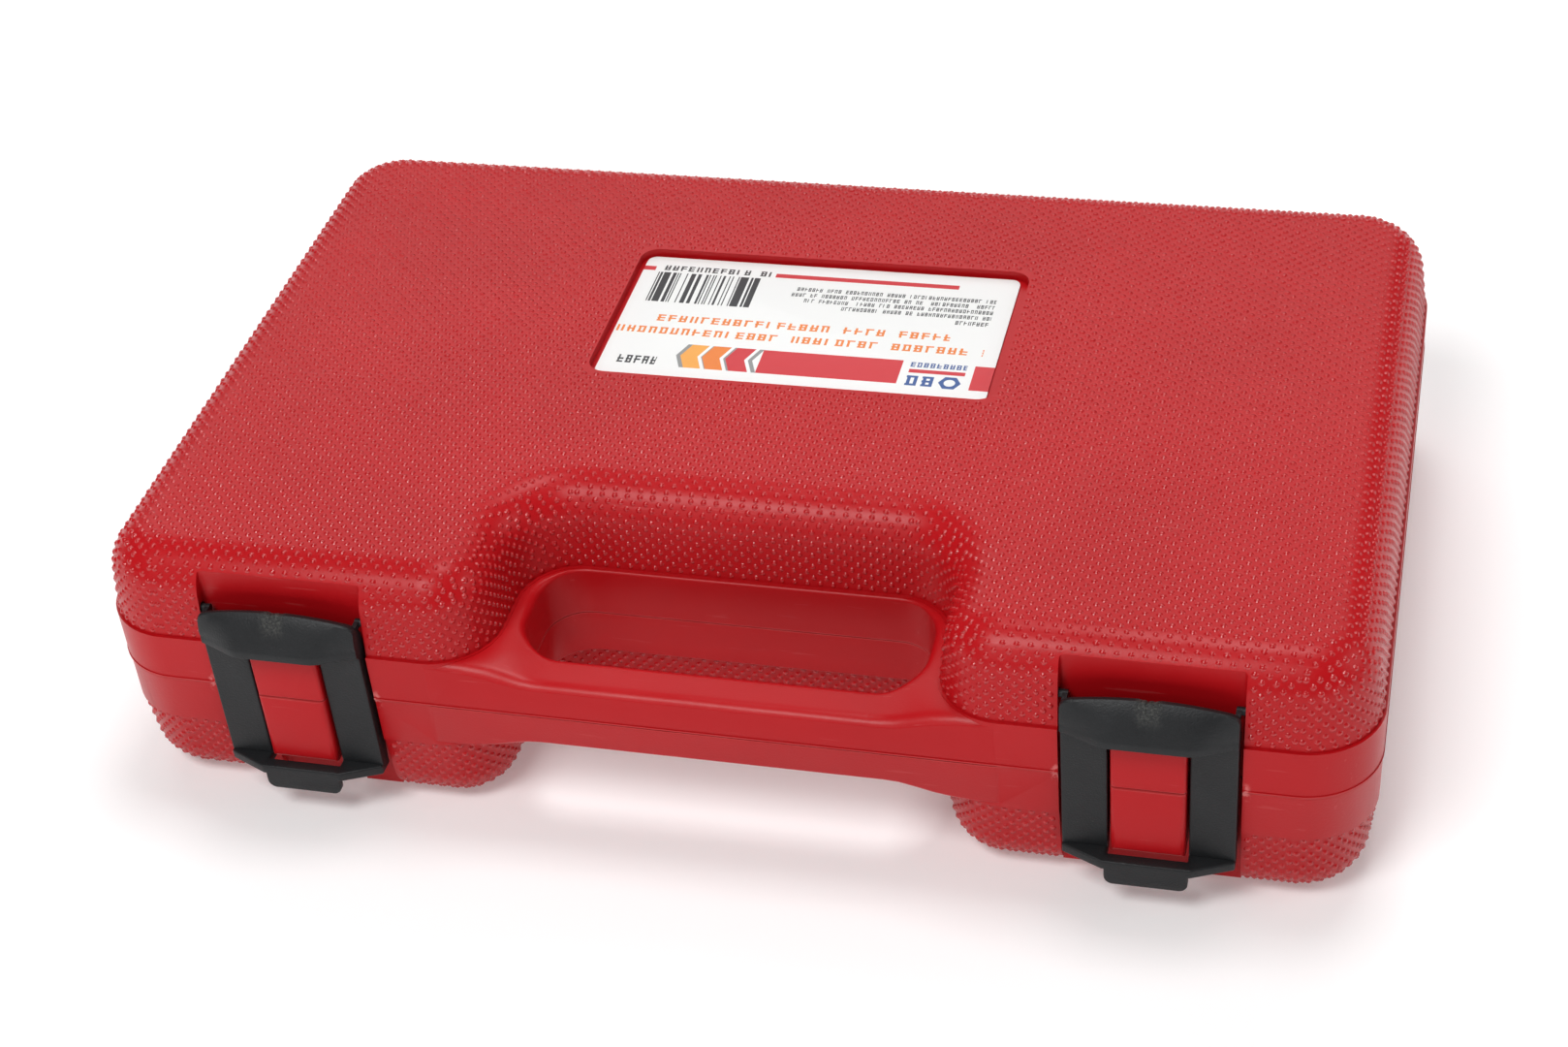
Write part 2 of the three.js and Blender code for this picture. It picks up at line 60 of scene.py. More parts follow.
def makeCamera(setup):
    right = Vector(setup["right"])
    up = Vector(setup["up"])
    back = right.cross(up)
    bpy.ops.object.camera_add()
    camera = bpy.context.object
    camera.name = "camera"
    turn = Matrix((right, up, back)).transposed().to_4x4()
    camera.matrix_world = Matrix.Translation(setup["place"]) @ turn
    camera.data.lens = setup["lens"]
    camera.data.sensor_width = setup["sensor"]
    camera.data.clip_start = 0.01
    camera.data.clip_end = 50
    bpy.context.scene.camera = camera


studio = {
    "floorSize": 40.0,
    "floorTone": (0.84, 0.02),     # its grey and how much that varies
    "floorGlow": (0.20, 1.0),      # painted light: the floor glows by itself, weakly beside the case and fully far from it
    "glowReach": (200, 600),       # millimetres from the case over which it grows
    "surround": 0.14,
    "lamps": [   # name, place, aimed at, width, height, watts
        ("key", (-0.30, -0.85, 1.40), (0, 0, 0.04), 0.60, 0.50, 13),
        ("overhead", (0.10, 0.30, 1.55), (0, 0, 0.04), 0.50, 0.45, 8),
        ("backPanel", (-0.35, 1.60, 1.30), (0, 0, 0.04), 2.6, 1.1, 14),
        ("rightFill", (1.30, 0.15, 0.75), (0, 0, 0.03), 0.8, 0.7, 3.5),
        ("frontFill", (-0.45, -1.50, 0.80), (0, 0, 0.03), 0.7, 0.5, 2.5),
    ],
}


def makeStudio(setup):
    bpy.context.scene.view_settings.view_transform = "Standard"
    world = bpy.data.worlds.new("studio")
    bpy.context.scene.world = world
    world.use_nodes = True
    world.node_tree.nodes["Background"].inputs["Color"].default_value = (1, 1, 1, 1)
    world.node_tree.nodes["Background"].inputs["Strength"].default_value = setup["surround"]
    for name, place, target, width, height, watts in setup["lamps"]:
        bpy.ops.object.light_add(type="AREA", location=place)
        lamp = bpy.context.object
        lamp.name = name
        lamp.data.shape = "RECTANGLE"
        lamp.data.size = width
        lamp.data.size_y = height
        lamp.data.energy = watts
        aim = Vector(target) - Vector(place)
        lamp.rotation_euler = aim.to_track_quat("-Z", "Y").to_euler()
    freshSelection()
    bpy.ops.mesh.primitive_plane_add(size=setup["floorSize"], location=(0, 0, 0))
    floor = bpy.context.object
    floor.name = "floor"
    finish = Finish("pale floor", {"Roughness": 0.8, "Specular IOR Level": 0.1, "Emission Strength": 1.0})
    tone, spread = setup["floorTone"]
    finish.feed("Base Color", finish.grey(finish.noise(0.4, 3) * spread + tone))
    # painted light: the floor's glow grows with distance from the case, lifting its shadows and whitening the
    # far floor
    away = (finish.x * finish.x + finish.y * finish.y).root()
    near, far = setup["floorGlow"]
    finish.feed("Emission Color", finish.grey(away.fade(*setup["glowReach"]) * (far - near) + near))
    floor.data.materials.append(finish.material)


def mathsStep(operation, turned=False):
    return lambda self, *others: self.maths(operation, *others, turned=turned)


class Number:
    # one output socket of a shader; arithmetic on it adds Math nodes

    __add__, __radd__ = mathsStep("ADD"), mathsStep("ADD", True)
    __sub__, __rsub__ = mathsStep("SUBTRACT"), mathsStep("SUBTRACT", True)
    __mul__, __truediv__ = mathsStep("MULTIPLY"), mathsStep("DIVIDE")
    __gt__, __lt__ = mathsStep("GREATER_THAN"), mathsStep("LESS_THAN")
    __abs__, root, larger = mathsStep("ABSOLUTE"), mathsStep("SQRT"), mathsStep("MAXIMUM")
    floor, fraction = mathsStep("FLOOR"), mathsStep("FRACT")

    def __init__(self, tree, socket):
        self.tree = tree
        self.socket = socket

    def maths(self, operation, *others, turned=False):
        node = self.tree.nodes.new("ShaderNodeMath")
        node.operation = operation
        items = (self, *others)[::-1] if turned else (self, *others)
        for slot, item in zip(node.inputs, items):
            connect(self.tree, slot, item)
        return Number(self.tree, node.outputs[0])

    def fade(self, low, high):   # 0 below low, 1 above high, a soft step between them
        node = self.tree.nodes.new("ShaderNodeMapRange")
        node.interpolation_type = "SMOOTHSTEP"
        connect(self.tree, node.inputs["Value"], self)
        node.inputs["From Min"].default_value = low
        node.inputs["From Max"].default_value = high
        return Number(self.tree, node.outputs["Result"])


def connect(tree, slot, item):
    if isinstance(item, Number):
        tree.links.new(item.socket, slot)
    else:
        slot.default_value = item


class Finish:
    # a material around one Principled shader; lengths in it are millimetres on the object

    def __init__(self, name, constants):
        self.material = bpy.data.materials.new(name)
        self.material.use_nodes = True
        self.tree = self.material.node_tree
        self.shader = self.tree.nodes["Principled BSDF"]
        for socketName, value in constants.items():
            self.shader.inputs[socketName].default_value = value
        place = self.node("ShaderNodeTexCoord", {}, {}, "Object")
        self.place = self.node("ShaderNodeVectorMath", {"operation": "SCALE"}, {0: place, "Scale": 1000.0})
        self.parts = self.tree.nodes.new("ShaderNodeSeparateXYZ")
        self.tree.links.new(self.place.socket, self.parts.inputs[0])
        self.x, self.y, self.z = (Number(self.tree, socket) for socket in self.parts.outputs)

    def node(self, kind, settings, values, output=0):
        made = self.tree.nodes.new(kind)
        for name, value in settings.items():
            setattr(made, name, value)
        for name, value in values.items():
            connect(self.tree, made.inputs[name], value)
        return Number(self.tree, made.outputs[output])

    def noise(self, scale, detail=2.0, place=None, roughness=0.5):
        values = {"Vector": place or self.place, "Scale": scale, "Detail": detail, "Roughness": roughness}
        return self.node("ShaderNodeTexNoise", {}, values)

    def stretched(self, factors):
        return self.node("ShaderNodeMapping", {}, {"Vector": self.place, "Scale": factors})

    def grey(self, value):
        return self.node("ShaderNodeCombineColor", {}, {0: value, 1: value, 2: value})

    def mix(self, share, first, second):
        made = self.tree.nodes.new("ShaderNodeMix")
        made.data_type = "RGBA"
        connect(self.tree, made.inputs[0], share)
        connect(self.tree, made.inputs[6], first)
        connect(self.tree, made.inputs[7], second)
        return Number(self.tree, made.outputs[2])

    def bump(self, height, distance, strength=1.0, below=None):
        values = {"Height": height, "Distance": distance, "Strength": strength}
        if below:
            values["Normal"] = below
        return self.node("ShaderNodeBump", {}, values)

    def feed(self, socketName, item):
        connect(self.tree, self.shader.inputs[socketName], item)


def within(value, low, high):
    return (value > low) * (value < high)


def enterEdit():
    bpy.ops.object.mode_set(mode="EDIT")


def leaveEdit():
    bpy.ops.object.mode_set(mode="OBJECT")


def scaled(*lengths):
    return tuple(length * mm for length in lengths)


def freshSelection():
    if bpy.context.object and bpy.context.object.mode != "OBJECT":
        leaveEdit()
    bpy.ops.object.select_all(action="DESELECT")


def startPiece(name):
    piece = bpy.context.object
    piece.name = name
    piece.data.name = name
    bpy.ops.object.transform_apply(location=True, rotation=True, scale=True)
    return piece


def work(piece):
    freshSelection()
    piece.select_set(True)
    bpy.context.view_layer.objects.active = piece


def addBlock(name, low, high):
    freshSelection()
    middle = [(a + b) / 2 for a, b in zip(low, high)]
    size = [b - a for a, b in zip(low, high)]
    bpy.ops.mesh.primitive_cube_add(size=1, location=middle, scale=size)
    return startPiece(name)


def addRod(name, radius, start, end, sides=48):
    freshSelection()
    line = Vector(end) - Vector(start)
    bpy.ops.mesh.primitive_cylinder_add(vertices=sides, radius=radius, depth=line.length,
                                        location=(Vector(start) + Vector(end)) / 2,
                                        rotation=line.to_track_quat("Z", "Y").to_euler())
    return startPiece(name)


def pick(piece, kind, test):   # leaves the piece in edit mode with what passes the test selected
    work(piece)
    enterEdit()
    bpy.ops.mesh.select_mode(type=kind)
    bpy.ops.mesh.select_all(action="DESELECT")
    leaveEdit()
    for part in piece.data.polygons if kind == "FACE" else piece.data.edges:
        part.select = bool(test(part))
    enterEdit()


def pickFaces(piece, test):
    pick(piece, "FACE", lambda face: test(face.center, face.normal))


def pickEdges(piece, test):
    pick(piece, "EDGE", lambda edge: test(*(piece.data.vertices[i].co for i in edge.vertices)))


def pieceFrom(name, points, faces):
    mesh = bpy.data.meshes.new(name)
    mesh.from_pydata(points, [], faces)
    piece = bpy.data.objects.new(name, mesh)
    bpy.context.scene.collection.objects.link(piece)
    return piece


def bevelPicked(width, segments, affect="EDGES"):
    bpy.ops.mesh.bevel(offset=width, segments=segments, profile=0.5, affect=affect, clamp_overlap=False)
    leaveEdit()


def combine(piece, tool, operation):
    work(piece)
    change = piece.modifiers.new("cut", "BOOLEAN")
    change.operation = operation
    change.solver = "EXACT"
    change.object = tool
    bpy.ops.object.modifier_apply(modifier=change.name)
    bpy.data.objects.remove(tool)


def cutAway(piece, tool):
    combine(piece, tool, "DIFFERENCE")


def joinOn(piece, tool):
    combine(piece, tool, "UNION")


def upright(a, b):
    return (a.xy - b.xy).length < 1e-6


def flatAt(height, tolerance=1e-5):
    return lambda a, b: abs(a.z - height) < tolerance and abs(b.z - height) < tolerance


def softBlock(name, low, high, cornerRadius, rimRadius=0, rimHeight=None, segments=6):
    # a block with round upright corners and, at one height, a round rim
    block = addBlock(name, low, high)
    pickEdges(block, upright)
    bevelPicked(cornerRadius, segments)
    if rimRadius:
        pickEdges(block, flatAt(rimHeight))
        bevelPicked(rimRadius, segments)
    return block


def smooth(piece, angle=35):
    work(piece)
    bpy.ops.object.shade_smooth_by_angle(angle=math.radians(angle))


def tidyMesh(piece):
    work(piece)
    enterEdit()
    bpy.ops.mesh.select_all(action="SELECT")
    bpy.ops.mesh.remove_doubles(threshold=2e-6)
    bpy.ops.mesh.normals_make_consistent(inside=False)
    leaveEdit()


def softenEdges(piece, width, angle=40, segments=2):
    work(piece)
    change = piece.modifiers.new("soft", "BEVEL")
    change.width = width
    change.segments = segments
    change.limit_method = "ANGLE"
    change.angle_limit = math.radians(angle)
    change.use_clamp_overlap = True
    change.harden_normals = False
    bpy.ops.object.modifier_apply(modifier=change.name)


redTones = {
    "body": (0.465, 0.0050, 0.0085, 1),
    "deep": (0.390, 0.0030, 0.0055, 1),
    "stress": (0.78, 0.27, 0.26, 1),
}
latchCentres = (-107.4, 107.4)
redFinish = {
    "seam": (0.15, 0.55),          # the whitened line fades over this distance from the parting plane
    "cornerReach": (0.6, 2.2),     # the stress marks beside the latch recesses
    "cornerHeight": (1.0, 3.6),
    "cornerDepth": (1.0, 6.0),
    "roughness": 0.33,
    "pipGloss": 0.6,               # the pips are rubbed shiny
    "pipRoughness": 0.20,
}


def redPlastic(name, gloss=0.22, roughness=redFinish["roughness"]):
    finish = Finish(name, {"Specular IOR Level": gloss})
    cloud = finish.noise(0.018, 3).fade(0.35, 0.65)
    colour = finish.mix(cloud * 0.35, redTones["body"], redTones["deep"])
    fromParting = abs(finish.z - partingHeight)
    seam = (1 - fromParting.fade(*redFinish["seam"])) * (finish.noise(0.12, 3) * 0.5 + 0.1)
    corner = 0
    for centre in latchCentres:
        for edge in (-recessForm["half"], recessForm["half"]):
            corner = corner + (1 - abs(finish.x - (centre + edge)).fade(*redFinish["cornerReach"]))
    corner = corner * (1 - fromParting.fade(*redFinish["cornerHeight"]))
    corner = corner * (1 - (finish.y + halfDepth).fade(*redFinish["cornerDepth"]))
    scarred = (corner * finish.noise(0.7, 5).fade(0.46, 0.60) * 0.6).larger(seam * 0.4)
    colour = finish.mix(scarred, colour, redTones["stress"])
    scuffs = finish.noise(1.0, 4, finish.stretched((0.05, 1.6, 0.7))).fade(0.66, 0.72) * 0.08
    finish.feed("Base Color", finish.mix(scuffs, colour, redTones["stress"]))
    rough = finish.noise(0.25, 4) * 0.08 + finish.noise(3.0, 2) * 0.05 + roughness - 0.065
    finish.feed("Roughness", rough + scarred * 0.2)
    waves = finish.bump(finish.noise(0.045, 1), 0.0011, 0.35)
    grain = finish.bump(finish.noise(1.7, 3), 0.00006, 0.5, waves)
    finish.feed("Normal", grain)
    return finish.material


blackFinish = {
    "dark": (0.0090, 0.0095, 0.0105, 1),
    "light": (0.0160, 0.0170, 0.0185, 1),
    "torn": (0.15, 0.15, 0.135, 1),
    "gateReach": (1.2, 4.0),       # the torn mark, sideways from the hood's middle
    "gateHeight": (57.5, 62.0),
}


def blackPlastic(name, centre):
    finish = Finish(name, {"Specular IOR Level": 0.28})
    cloud = finish.noise(0.12, 3)
    colour = finish.mix(cloud, blackFinish["dark"], blackFinish["light"])
    # the torn gate mark at the crest of the hood, and small pale specks
    fromGate = abs(finish.x - centre) + finish.noise(0.5, 3) * 3.0 - 1.5
    upHood = finish.z.fade(*blackFinish["gateHeight"])
    gate = (1 - fromGate.fade(*blackFinish["gateReach"])) * upHood
    gate = gate * (finish.noise(1.5, 5).fade(0.40, 0.62) * 0.75 + 0.2)
    specks = finish.noise(2.4, 1).fade(0.765, 0.80)
    pale = (gate * 0.4).larger(specks * 0.3)
    finish.feed("Base Color", finish.mix(pale, colour, blackFinish["torn"]))
    finish.feed("Roughness", finish.noise(0.5, 4) * 0.14 + 0.36 + pale * 0.25)
    grain = finish.bump(finish.noise(2.2, 3), 0.00016, 0.7)
    finish.feed("Normal", finish.bump(gate * finish.noise(1.0, 4), 0.0007, 0.7, grain))
    return finish.material


steels = {   # tone, roughness, whether it is turned on a lathe
    "chrome": ((0.66, 0.66, 0.67), 0.24, True),
    "bit": ((0.30, 0.29, 0.28), 0.38, False),
    "pin": ((0.55, 0.55, 0.56), 0.32, False),
}
toolMarks = {True: (0.02, 4.0, 0.02), False: (0.5, 0.5, 0.5)}   # round the turned pieces


def machinedSteel(name, kind):
    tone, roughness, turned = steels[kind]
    finish = Finish(name, {"Metallic": 1.0})
    shade = finish.noise(0.05, 2)
    dark = tuple(channel * 0.88 for channel in tone)
    finish.feed("Base Color", finish.mix(shade, (*tone, 1), (*dark, 1)))
    lines = finish.noise(1.0, 3, finish.stretched(toolMarks[turned]))
    finish.feed("Roughness", finish.noise(0.12, 3) * 0.06 + lines * 0.08 + roughness - 0.07)
    finish.feed("Normal", finish.bump(lines, 0.00002, 0.3))
    return finish.material


caseForm = {
    "width": 319.6 * mm,      # over the band, inside the thin moulding flash
    "depth": 203.6 * mm,
    "halfHeight": 36.5 * mm,  # to the skin between the pips
    "gap": 0.15 * mm,
    "flash": (0.2 * mm, 0.45 * mm),
    "bandHeight": 13.7 * mm,
    "ledge": 0.8 * mm,
    "baseSetBack": 0.25 * mm,
    "frontCorner": 18.8 * mm,
    "backCorner": 19.8 * mm,
    "notchHalf": 54.7 * mm,
    "notchDepth": 41.7 * mm,
    "lobeRadius": 16.8 * mm,
    "innerRadius": 14.2 * mm,
    "roundInset": 14.0 * mm,
    "roundRadius": 12 * mm,
    "roundStart": 10,
    "roundSteps": 16,
    "arcSteps": 14,
    "soft": 0.35 * mm,
}
saddleForm = {
    "slotHalf": 51 * mm,
    "slotFront": 11.5 * mm,
    "slotBack": 41.3 * mm,
    "corner": 11 * mm,
    "arcSteps": 10,
    "longSteps": 30,
    "shortSteps": 4,
    "outerHalf": 80 * mm,
    "outerBack": 50 * mm,
    "barHeight": 10 * mm,
    "footDrop": 0.15 * mm,
    "footReach": 15 * mm,
    "frontRound": (3.4 * mm, 2.6 * mm),
    "rimRound": 2.0 * mm,
    "draft": 0.5 * mm,
    "frontInset": 0.2 * mm,
    "rimFade": (0.6, 30 * mm, 10 * mm),   # how much the rim's round shrinks, from where, over what depth
    "shares": (0, 0.006, 0.02, 0.04, 0.07, 0.11, 0.16, 0.22, 0.3, 0.4, 0.5, 0.6, 0.68, 0.74, 0.79, 0.84,
               0.88, 0.92, 0.95, 0.975, 0.99, 1),   # the loops' places between the slot and the outside
}
recessForm = {
    "half": 21.5, "floor": 5.4, "reach": 33.4, "panelBack": 13, "corner": 0.8,
    "cutHalf": 11.5, "cutTop": 24, "cutBack": 8.9, "cutCorner": 1.2,
}
trunnion = {"inset": 3.6, "height": 22.3, "bore": 1.5, "boreReach": 3.2}
blockForm = {"half": 8.9, "lid": (2.6, 13, 1.0), "base": (3.0, 20.6, 1.4)}   # face, height, softness
labelPocket = {"half": 54.9, "front": 95.4, "back": 154.9, "floor": 34.0, "corner": 5}
bayForm = {"inset": 9.5, "lidHeight": 24, "baseHeight": 8, "rim": 3.0}
hingeForm = {
    "centre": 92, "offset": 3.5, "radius": 3.2, "bore": 1.55, "knuckle": 12, "gap": 0.4,
    "web": 2, "pinEdge": 0.35,
}


def notchedBlock(name, inset, low, high, segments):
    # the plan of the case with its notch, moved inwards by inset, between two heights
    form = caseForm
    halfX = form["width"] / 2 - inset
    front = -form["depth"] / 2 + inset
    back = form["depth"] / 2 - inset
    notchX = form["notchHalf"] + inset
    notchY = -form["depth"] / 2 + form["notchDepth"] + inset
    block = addBlock(name, (-halfX, front, low), (halfX, back, high))
    notch = addBlock("notch", (-notchX, front - 0.01, low - 0.01), (notchX, notchY, high + 0.01))
    cutAway(block, notch)
    corners = [
        (halfX, front, form["frontCorner"] - inset), (halfX, back, form["backCorner"] - inset),
        (notchX, front, form["lobeRadius"] - inset), (notchX, notchY, form["innerRadius"] + inset),
    ]
    for x, y, radius in corners:
        pickEdges(block, lambda a, b: upright(a, b) and abs(abs(a.x) - x) < 1e-5 and abs(a.y - y) < 1e-5)
        bevelPicked(radius, segments)
    return block


def outerSkin(name, setBack):
    form = caseForm
    flashOut, flashHeight = form["flash"]
    segments = form["arcSteps"]
    skin = notchedBlock(name, setBack - flashOut, form["gap"], form["gap"] + flashHeight, segments)
    pickFaces(skin, lambda middle, normal: normal.z > 0.9)
    bpy.ops.mesh.inset(thickness=flashOut, depth=0, use_even_offset=True)
    rise = form["bandHeight"] - form["gap"] - flashHeight
    bpy.ops.mesh.extrude_region_move(TRANSFORM_OT_translate={"value": (0, 0, rise)})
    ledge = form["ledge"] - setBack
    bpy.ops.mesh.inset(thickness=ledge, depth=0, use_even_offset=True)
    inset = form["ledge"]
    height = form["bandHeight"]
    for step in range(form["roundSteps"] + 1):
        angle = math.radians(form["roundStart"] + (90 - form["roundStart"]) * step / form["roundSteps"])
        nextInset = form["roundInset"] - form["roundRadius"] * math.cos(angle)
        nextHeight = form["halfHeight"] - form["roundRadius"] * (1 - math.sin(angle))
        bpy.ops.mesh.inset(thickness=nextInset - inset, depth=nextHeight - height, use_even_offset=True)
        inset, height = nextInset, nextHeight
    leaveEdit()
    return skin


def footDistance(x, y):
    # how far a point in the notch is from the foot of the textured wall
    form = caseForm
    deep = y - frontY
    across = abs(x)
    wall = form["notchHalf"] - across
    rear = form["notchDepth"] - deep
    inner = form["innerRadius"]
    lobe = form["lobeRadius"]
    lobeX = form["notchHalf"] + lobe
    if across > form["notchHalf"] - inner and deep > form["notchDepth"] - inner:
        return inner - math.hypot(across - form["notchHalf"] + inner, deep - form["notchDepth"] + inner)
    if deep < lobe:
        return math.hypot(across - lobeX, deep - lobe) - lobe if across < lobeX else -deep
    return min(wall, rear)


def softStep(value):
    value = min(max(value, 0.0), 1.0)
    return value * value * (3 - 2 * value)


def slotOutline(form, grow):
    # points and outward directions round the hand slot
    radius = form["corner"]
    left, right = -form["slotHalf"] + radius, form["slotHalf"] - radius
    low, high = frontY + form["slotFront"] + radius, frontY + form["slotBack"] - radius
    sides = [
        ((left, low), (right, low), 270, form["longSteps"]),
        ((right, low), (right, high), 0, form["shortSteps"]),
        ((right, high), (left, high), 90, form["longSteps"]),
        ((left, high), (left, low), 180, form["shortSteps"]),
    ]
    points = []
    for (x0, y0), (x1, y1), heading, count in sides:
        turned = math.radians(heading)
        for step in range(count):
            share = step / count
            points.append((x0 + (x1 - x0) * share, y0 + (y1 - y0) * share, turned))
        for step in range(form["arcSteps"]):
            points.append((x1, y1, turned + math.pi / 2 * step / form["arcSteps"]))
    return [(x + (radius + grow) * math.cos(a), y + (radius + grow) * math.sin(a), a) for x, y, a in points]


def saddleTop(form, x, y, fromSlot):
    # the handle's top: level along the bar, rising to the foot of the textured wall
    rise = 1 - softStep(footDistance(x, y) / form["footReach"])
    top = form["barHeight"] + (caseForm["bandHeight"] - form["footDrop"] - form["barHeight"]) * rise
    depth, drop = form["frontRound"]
    fromFront = (y - frontY) / depth
    if fromFront < 1:
        top -= drop * (1 - math.sqrt(max(0.0, 1 - (1 - max(fromFront, 0)) ** 2)))
    shrink, start, length = form["rimFade"]
    rim = form["rimRound"] * (1 - shrink * softStep((y - frontY - start) / length))
    if fromSlot < rim:
        top -= rim - math.sqrt(max(0.0, rim ** 2 - (rim - fromSlot) ** 2))
    return top


def saddle(name):
    # a closed ring round the hand slot, made of loops from the slot's wall out to the handle's front
    form = saddleForm
    gap = caseForm["gap"]
    front, back = frontY + form["frontInset"], frontY + form["outerBack"]
    loops = []
    inner = slotOutline(form, 0)
    draft = form["draft"]
    loops.append([(x - draft * math.cos(a), y - draft * math.sin(a), gap) for x, y, a in inner])
    for share in form["shares"]:
        loop = []
        for x, y, a in inner:
            reach = [1.0]
            if abs(math.cos(a)) > 1e-6:
                reach.append((math.copysign(form["outerHalf"], math.cos(a)) - x) / math.cos(a))
            if abs(math.sin(a)) > 1e-6:
                reach.append(((back if math.sin(a) > 0 else front) - y) / math.sin(a))
            distance = min(reach) * share
            px, py = x + distance * math.cos(a), y + distance * math.sin(a)
            loop.append((px, py, saddleTop(form, px, py, distance)))
        loops.append(loop)
    flashOut, flashHeight = caseForm["flash"]
    last = loops[-1]
    loops.append([(x, y, gap + flashHeight) for x, y, z in last])
    loops.append([(x, y - flashOut if y < frontY + 0.001 else y, gap + flashHeight) for x, y, z in last])
    loops.append([(x, y - flashOut if y < frontY + 0.001 else y, gap) for x, y, z in last])
    count = len(inner)
    points = [(x, y, z) for loop in loops for x, y, z in loop]
    faces = []
    for ring in range(len(loops)):
        low = ring * count
        high = (ring + 1) % len(loops) * count
        for i in range(count):
            j = (i + 1) % count
            faces.append((low + i, high + i, high + j, low + j))
    piece = pieceFrom(name, points, faces)
    tidyMesh(piece)
    return piece


def knuckle(x0, x1):
    form = hingeForm
    axisY = halfDepth + form["offset"]
    radius = form["radius"] * mm
    rod = addRod("knuckle", radius, scaled(x0, axisY, 0), scaled(x1, axisY, 0), 40)
    low = (*scaled(x0, halfDepth - form["web"]), caseForm["gap"])
    web = addBlock("web", low, (*scaled(x1, axisY), radius * 0.98))
    joinOn(rod, web)
    return rod


def addKnuckles(shell, places):
    form = hingeForm
    pitch = form["knuckle"] + form["gap"]
    for centre in (-form["centre"], form["centre"]):
        for place in places:
            x0 = centre + place * pitch - form["knuckle"] / 2
            joinOn(shell, knuckle(x0, x0 + form["knuckle"]))
        reach = 3 * form["knuckle"]
        axisY = halfDepth + form["offset"]
        ends = scaled(centre - reach, axisY, 0), scaled(centre + reach, axisY, 0)
        bore = addRod("bore", form["bore"] * mm, *ends, 32)
        cutAway(shell, bore)


def caseHalf(name, isLid):
    # modelled lid way up with the parting plane at z = 0, then put in place
    shell = outerSkin(name, 0 if isLid else caseForm["baseSetBack"])
    joinOn(shell, saddle("handle half"))
    floorY = frontY + recessForm["floor"] * mm
    for centre in latchCentres:
        x0, x1 = (centre - recessForm["half"]) * mm, (centre + recessForm["half"]) * mm
        cutter = addBlock("recess", (x0, frontY - 0.005, -0.01), (x1, floorY, 0.05))
        pickEdges(cutter, lambda a, b: upright(a, b) and a.y > frontY)
        bevelPicked(recessForm["corner"] * mm, 4)
        cutAway(shell, cutter)
    print(name, "skin, handle and recesses")
    return shell


def latchBlock(centre, face, foot, softness):
    half = blockForm["half"] * mm
    low = (centre * mm - half, frontY - face * mm, caseForm["gap"])
    high = (centre * mm + half, frontY + (recessForm["floor"] + 1) * mm, foot * mm)
    block = addBlock("catch block", low, high)
    faceY = low[1] + 1e-5
    pickEdges(block, lambda a, b: a.y < faceY and b.y < faceY and max(a.z, b.z) > caseForm["gap"] + 1e-5)
    bevelPicked(softness * mm, 4)
    return block


def finishHalf(shell, isLid, material):
    tidyMesh(shell)
    softenEdges(shell, caseForm["soft"], 50)
    work(shell)
    if not isLid:
        enterEdit()
        bpy.ops.mesh.select_all(action="SELECT")
        bpy.ops.transform.mirror(constraint_axis=(False, False, True), center_override=(0, 0, 0))
        bpy.ops.mesh.normals_make_consistent(inside=False)
        leaveEdit()
    bpy.ops.object.select_all(action="DESELECT")
    shell.select_set(True)
    bpy.ops.transform.translate(value=(0, 0, partingZ))
    bpy.ops.object.transform_apply(location=True, rotation=True, scale=True)
    smooth(shell, 30)
    shell.data.materials.clear()
    shell.data.materials.append(material)


def makeLid(material):
    shell = caseHalf("case_lid", True)
    pocket = labelPocket
    low = (-pocket["half"] * mm, frontY + pocket["front"] * mm, pocket["floor"] * mm)
    high = (pocket["half"] * mm, frontY + pocket["back"] * mm, 0.05)
    cutter = softBlock("label pocket", low, high, pocket["corner"] * mm)
    cutAway(shell, cutter)
    for centre in latchCentres:
        joinOn(shell, latchBlock(centre, *blockForm["lid"]))
    bay = notchedBlock("bay", bayForm["inset"] * mm, -0.01, bayForm["lidHeight"] * mm, 8)
    pickEdges(bay, flatAt(bayForm["lidHeight"] * mm))
    bevelPicked(bayForm["rim"] * mm, 4)
    cutAway(shell, bay)
    for centre in latchCentres:
        reach = recessForm["half"] + trunnion["boreReach"]
        pivot = (frontY + trunnion["inset"] * mm, trunnion["height"] * mm)
        bore = addRod("trunnion bore", trunnion["bore"] * mm, ((centre - reach) * mm, *pivot),
                      ((centre + reach) * mm, *pivot), 24)
        cutAway(shell, bore)
    addKnuckles(shell, (-1, 1))
    finishHalf(shell, True, material)
    print("lid shell", len(shell.data.polygons), "faces")
    return shell


socketSizes = (27, 30, 32, 34, 36)
socketForm = {
    "outer": {27: 38, 30: 42, 32: 44, 34: 47, 36: 50},
    "gap": 7, "mouthY": 3, "length": 85, "head": 50, "shoulder": 6, "neck": 15, "axisZ": -4,
    "groove": (1.4, 0.5, 0.6), "neckGroove": (2.2, 0.6, 0.5),   # width, depth, slope
    "recess": 28, "bore": 62, "boreRadius": 10.5, "square": 12.9, "chamfer": 1.2, "spare": 0.4, "lead": 1.6,
}
bitSizes = (14, 17, 19)
bitForm = {
    "pitch": 36, "tipY": -49, "total": 43, "holder": 26, "radius": 12.5, "bore": 8, "axisZ": -6,
    "groove": (2.0, 0.5, 0.5),
    "square": 12.9, "squareDepth": 16, "chamfer": 1.0, "spare": 0.6, "tipEase": 1.6, "soft": 0.35,
}
trayForm = {
    "spare": 1.0, "lobeHalf": 36, "lobeX": 104, "lobeFront": 20, "lobeBack": 92, "lobeDrop": 24,
    "corner": 12, "rim": 3,
}


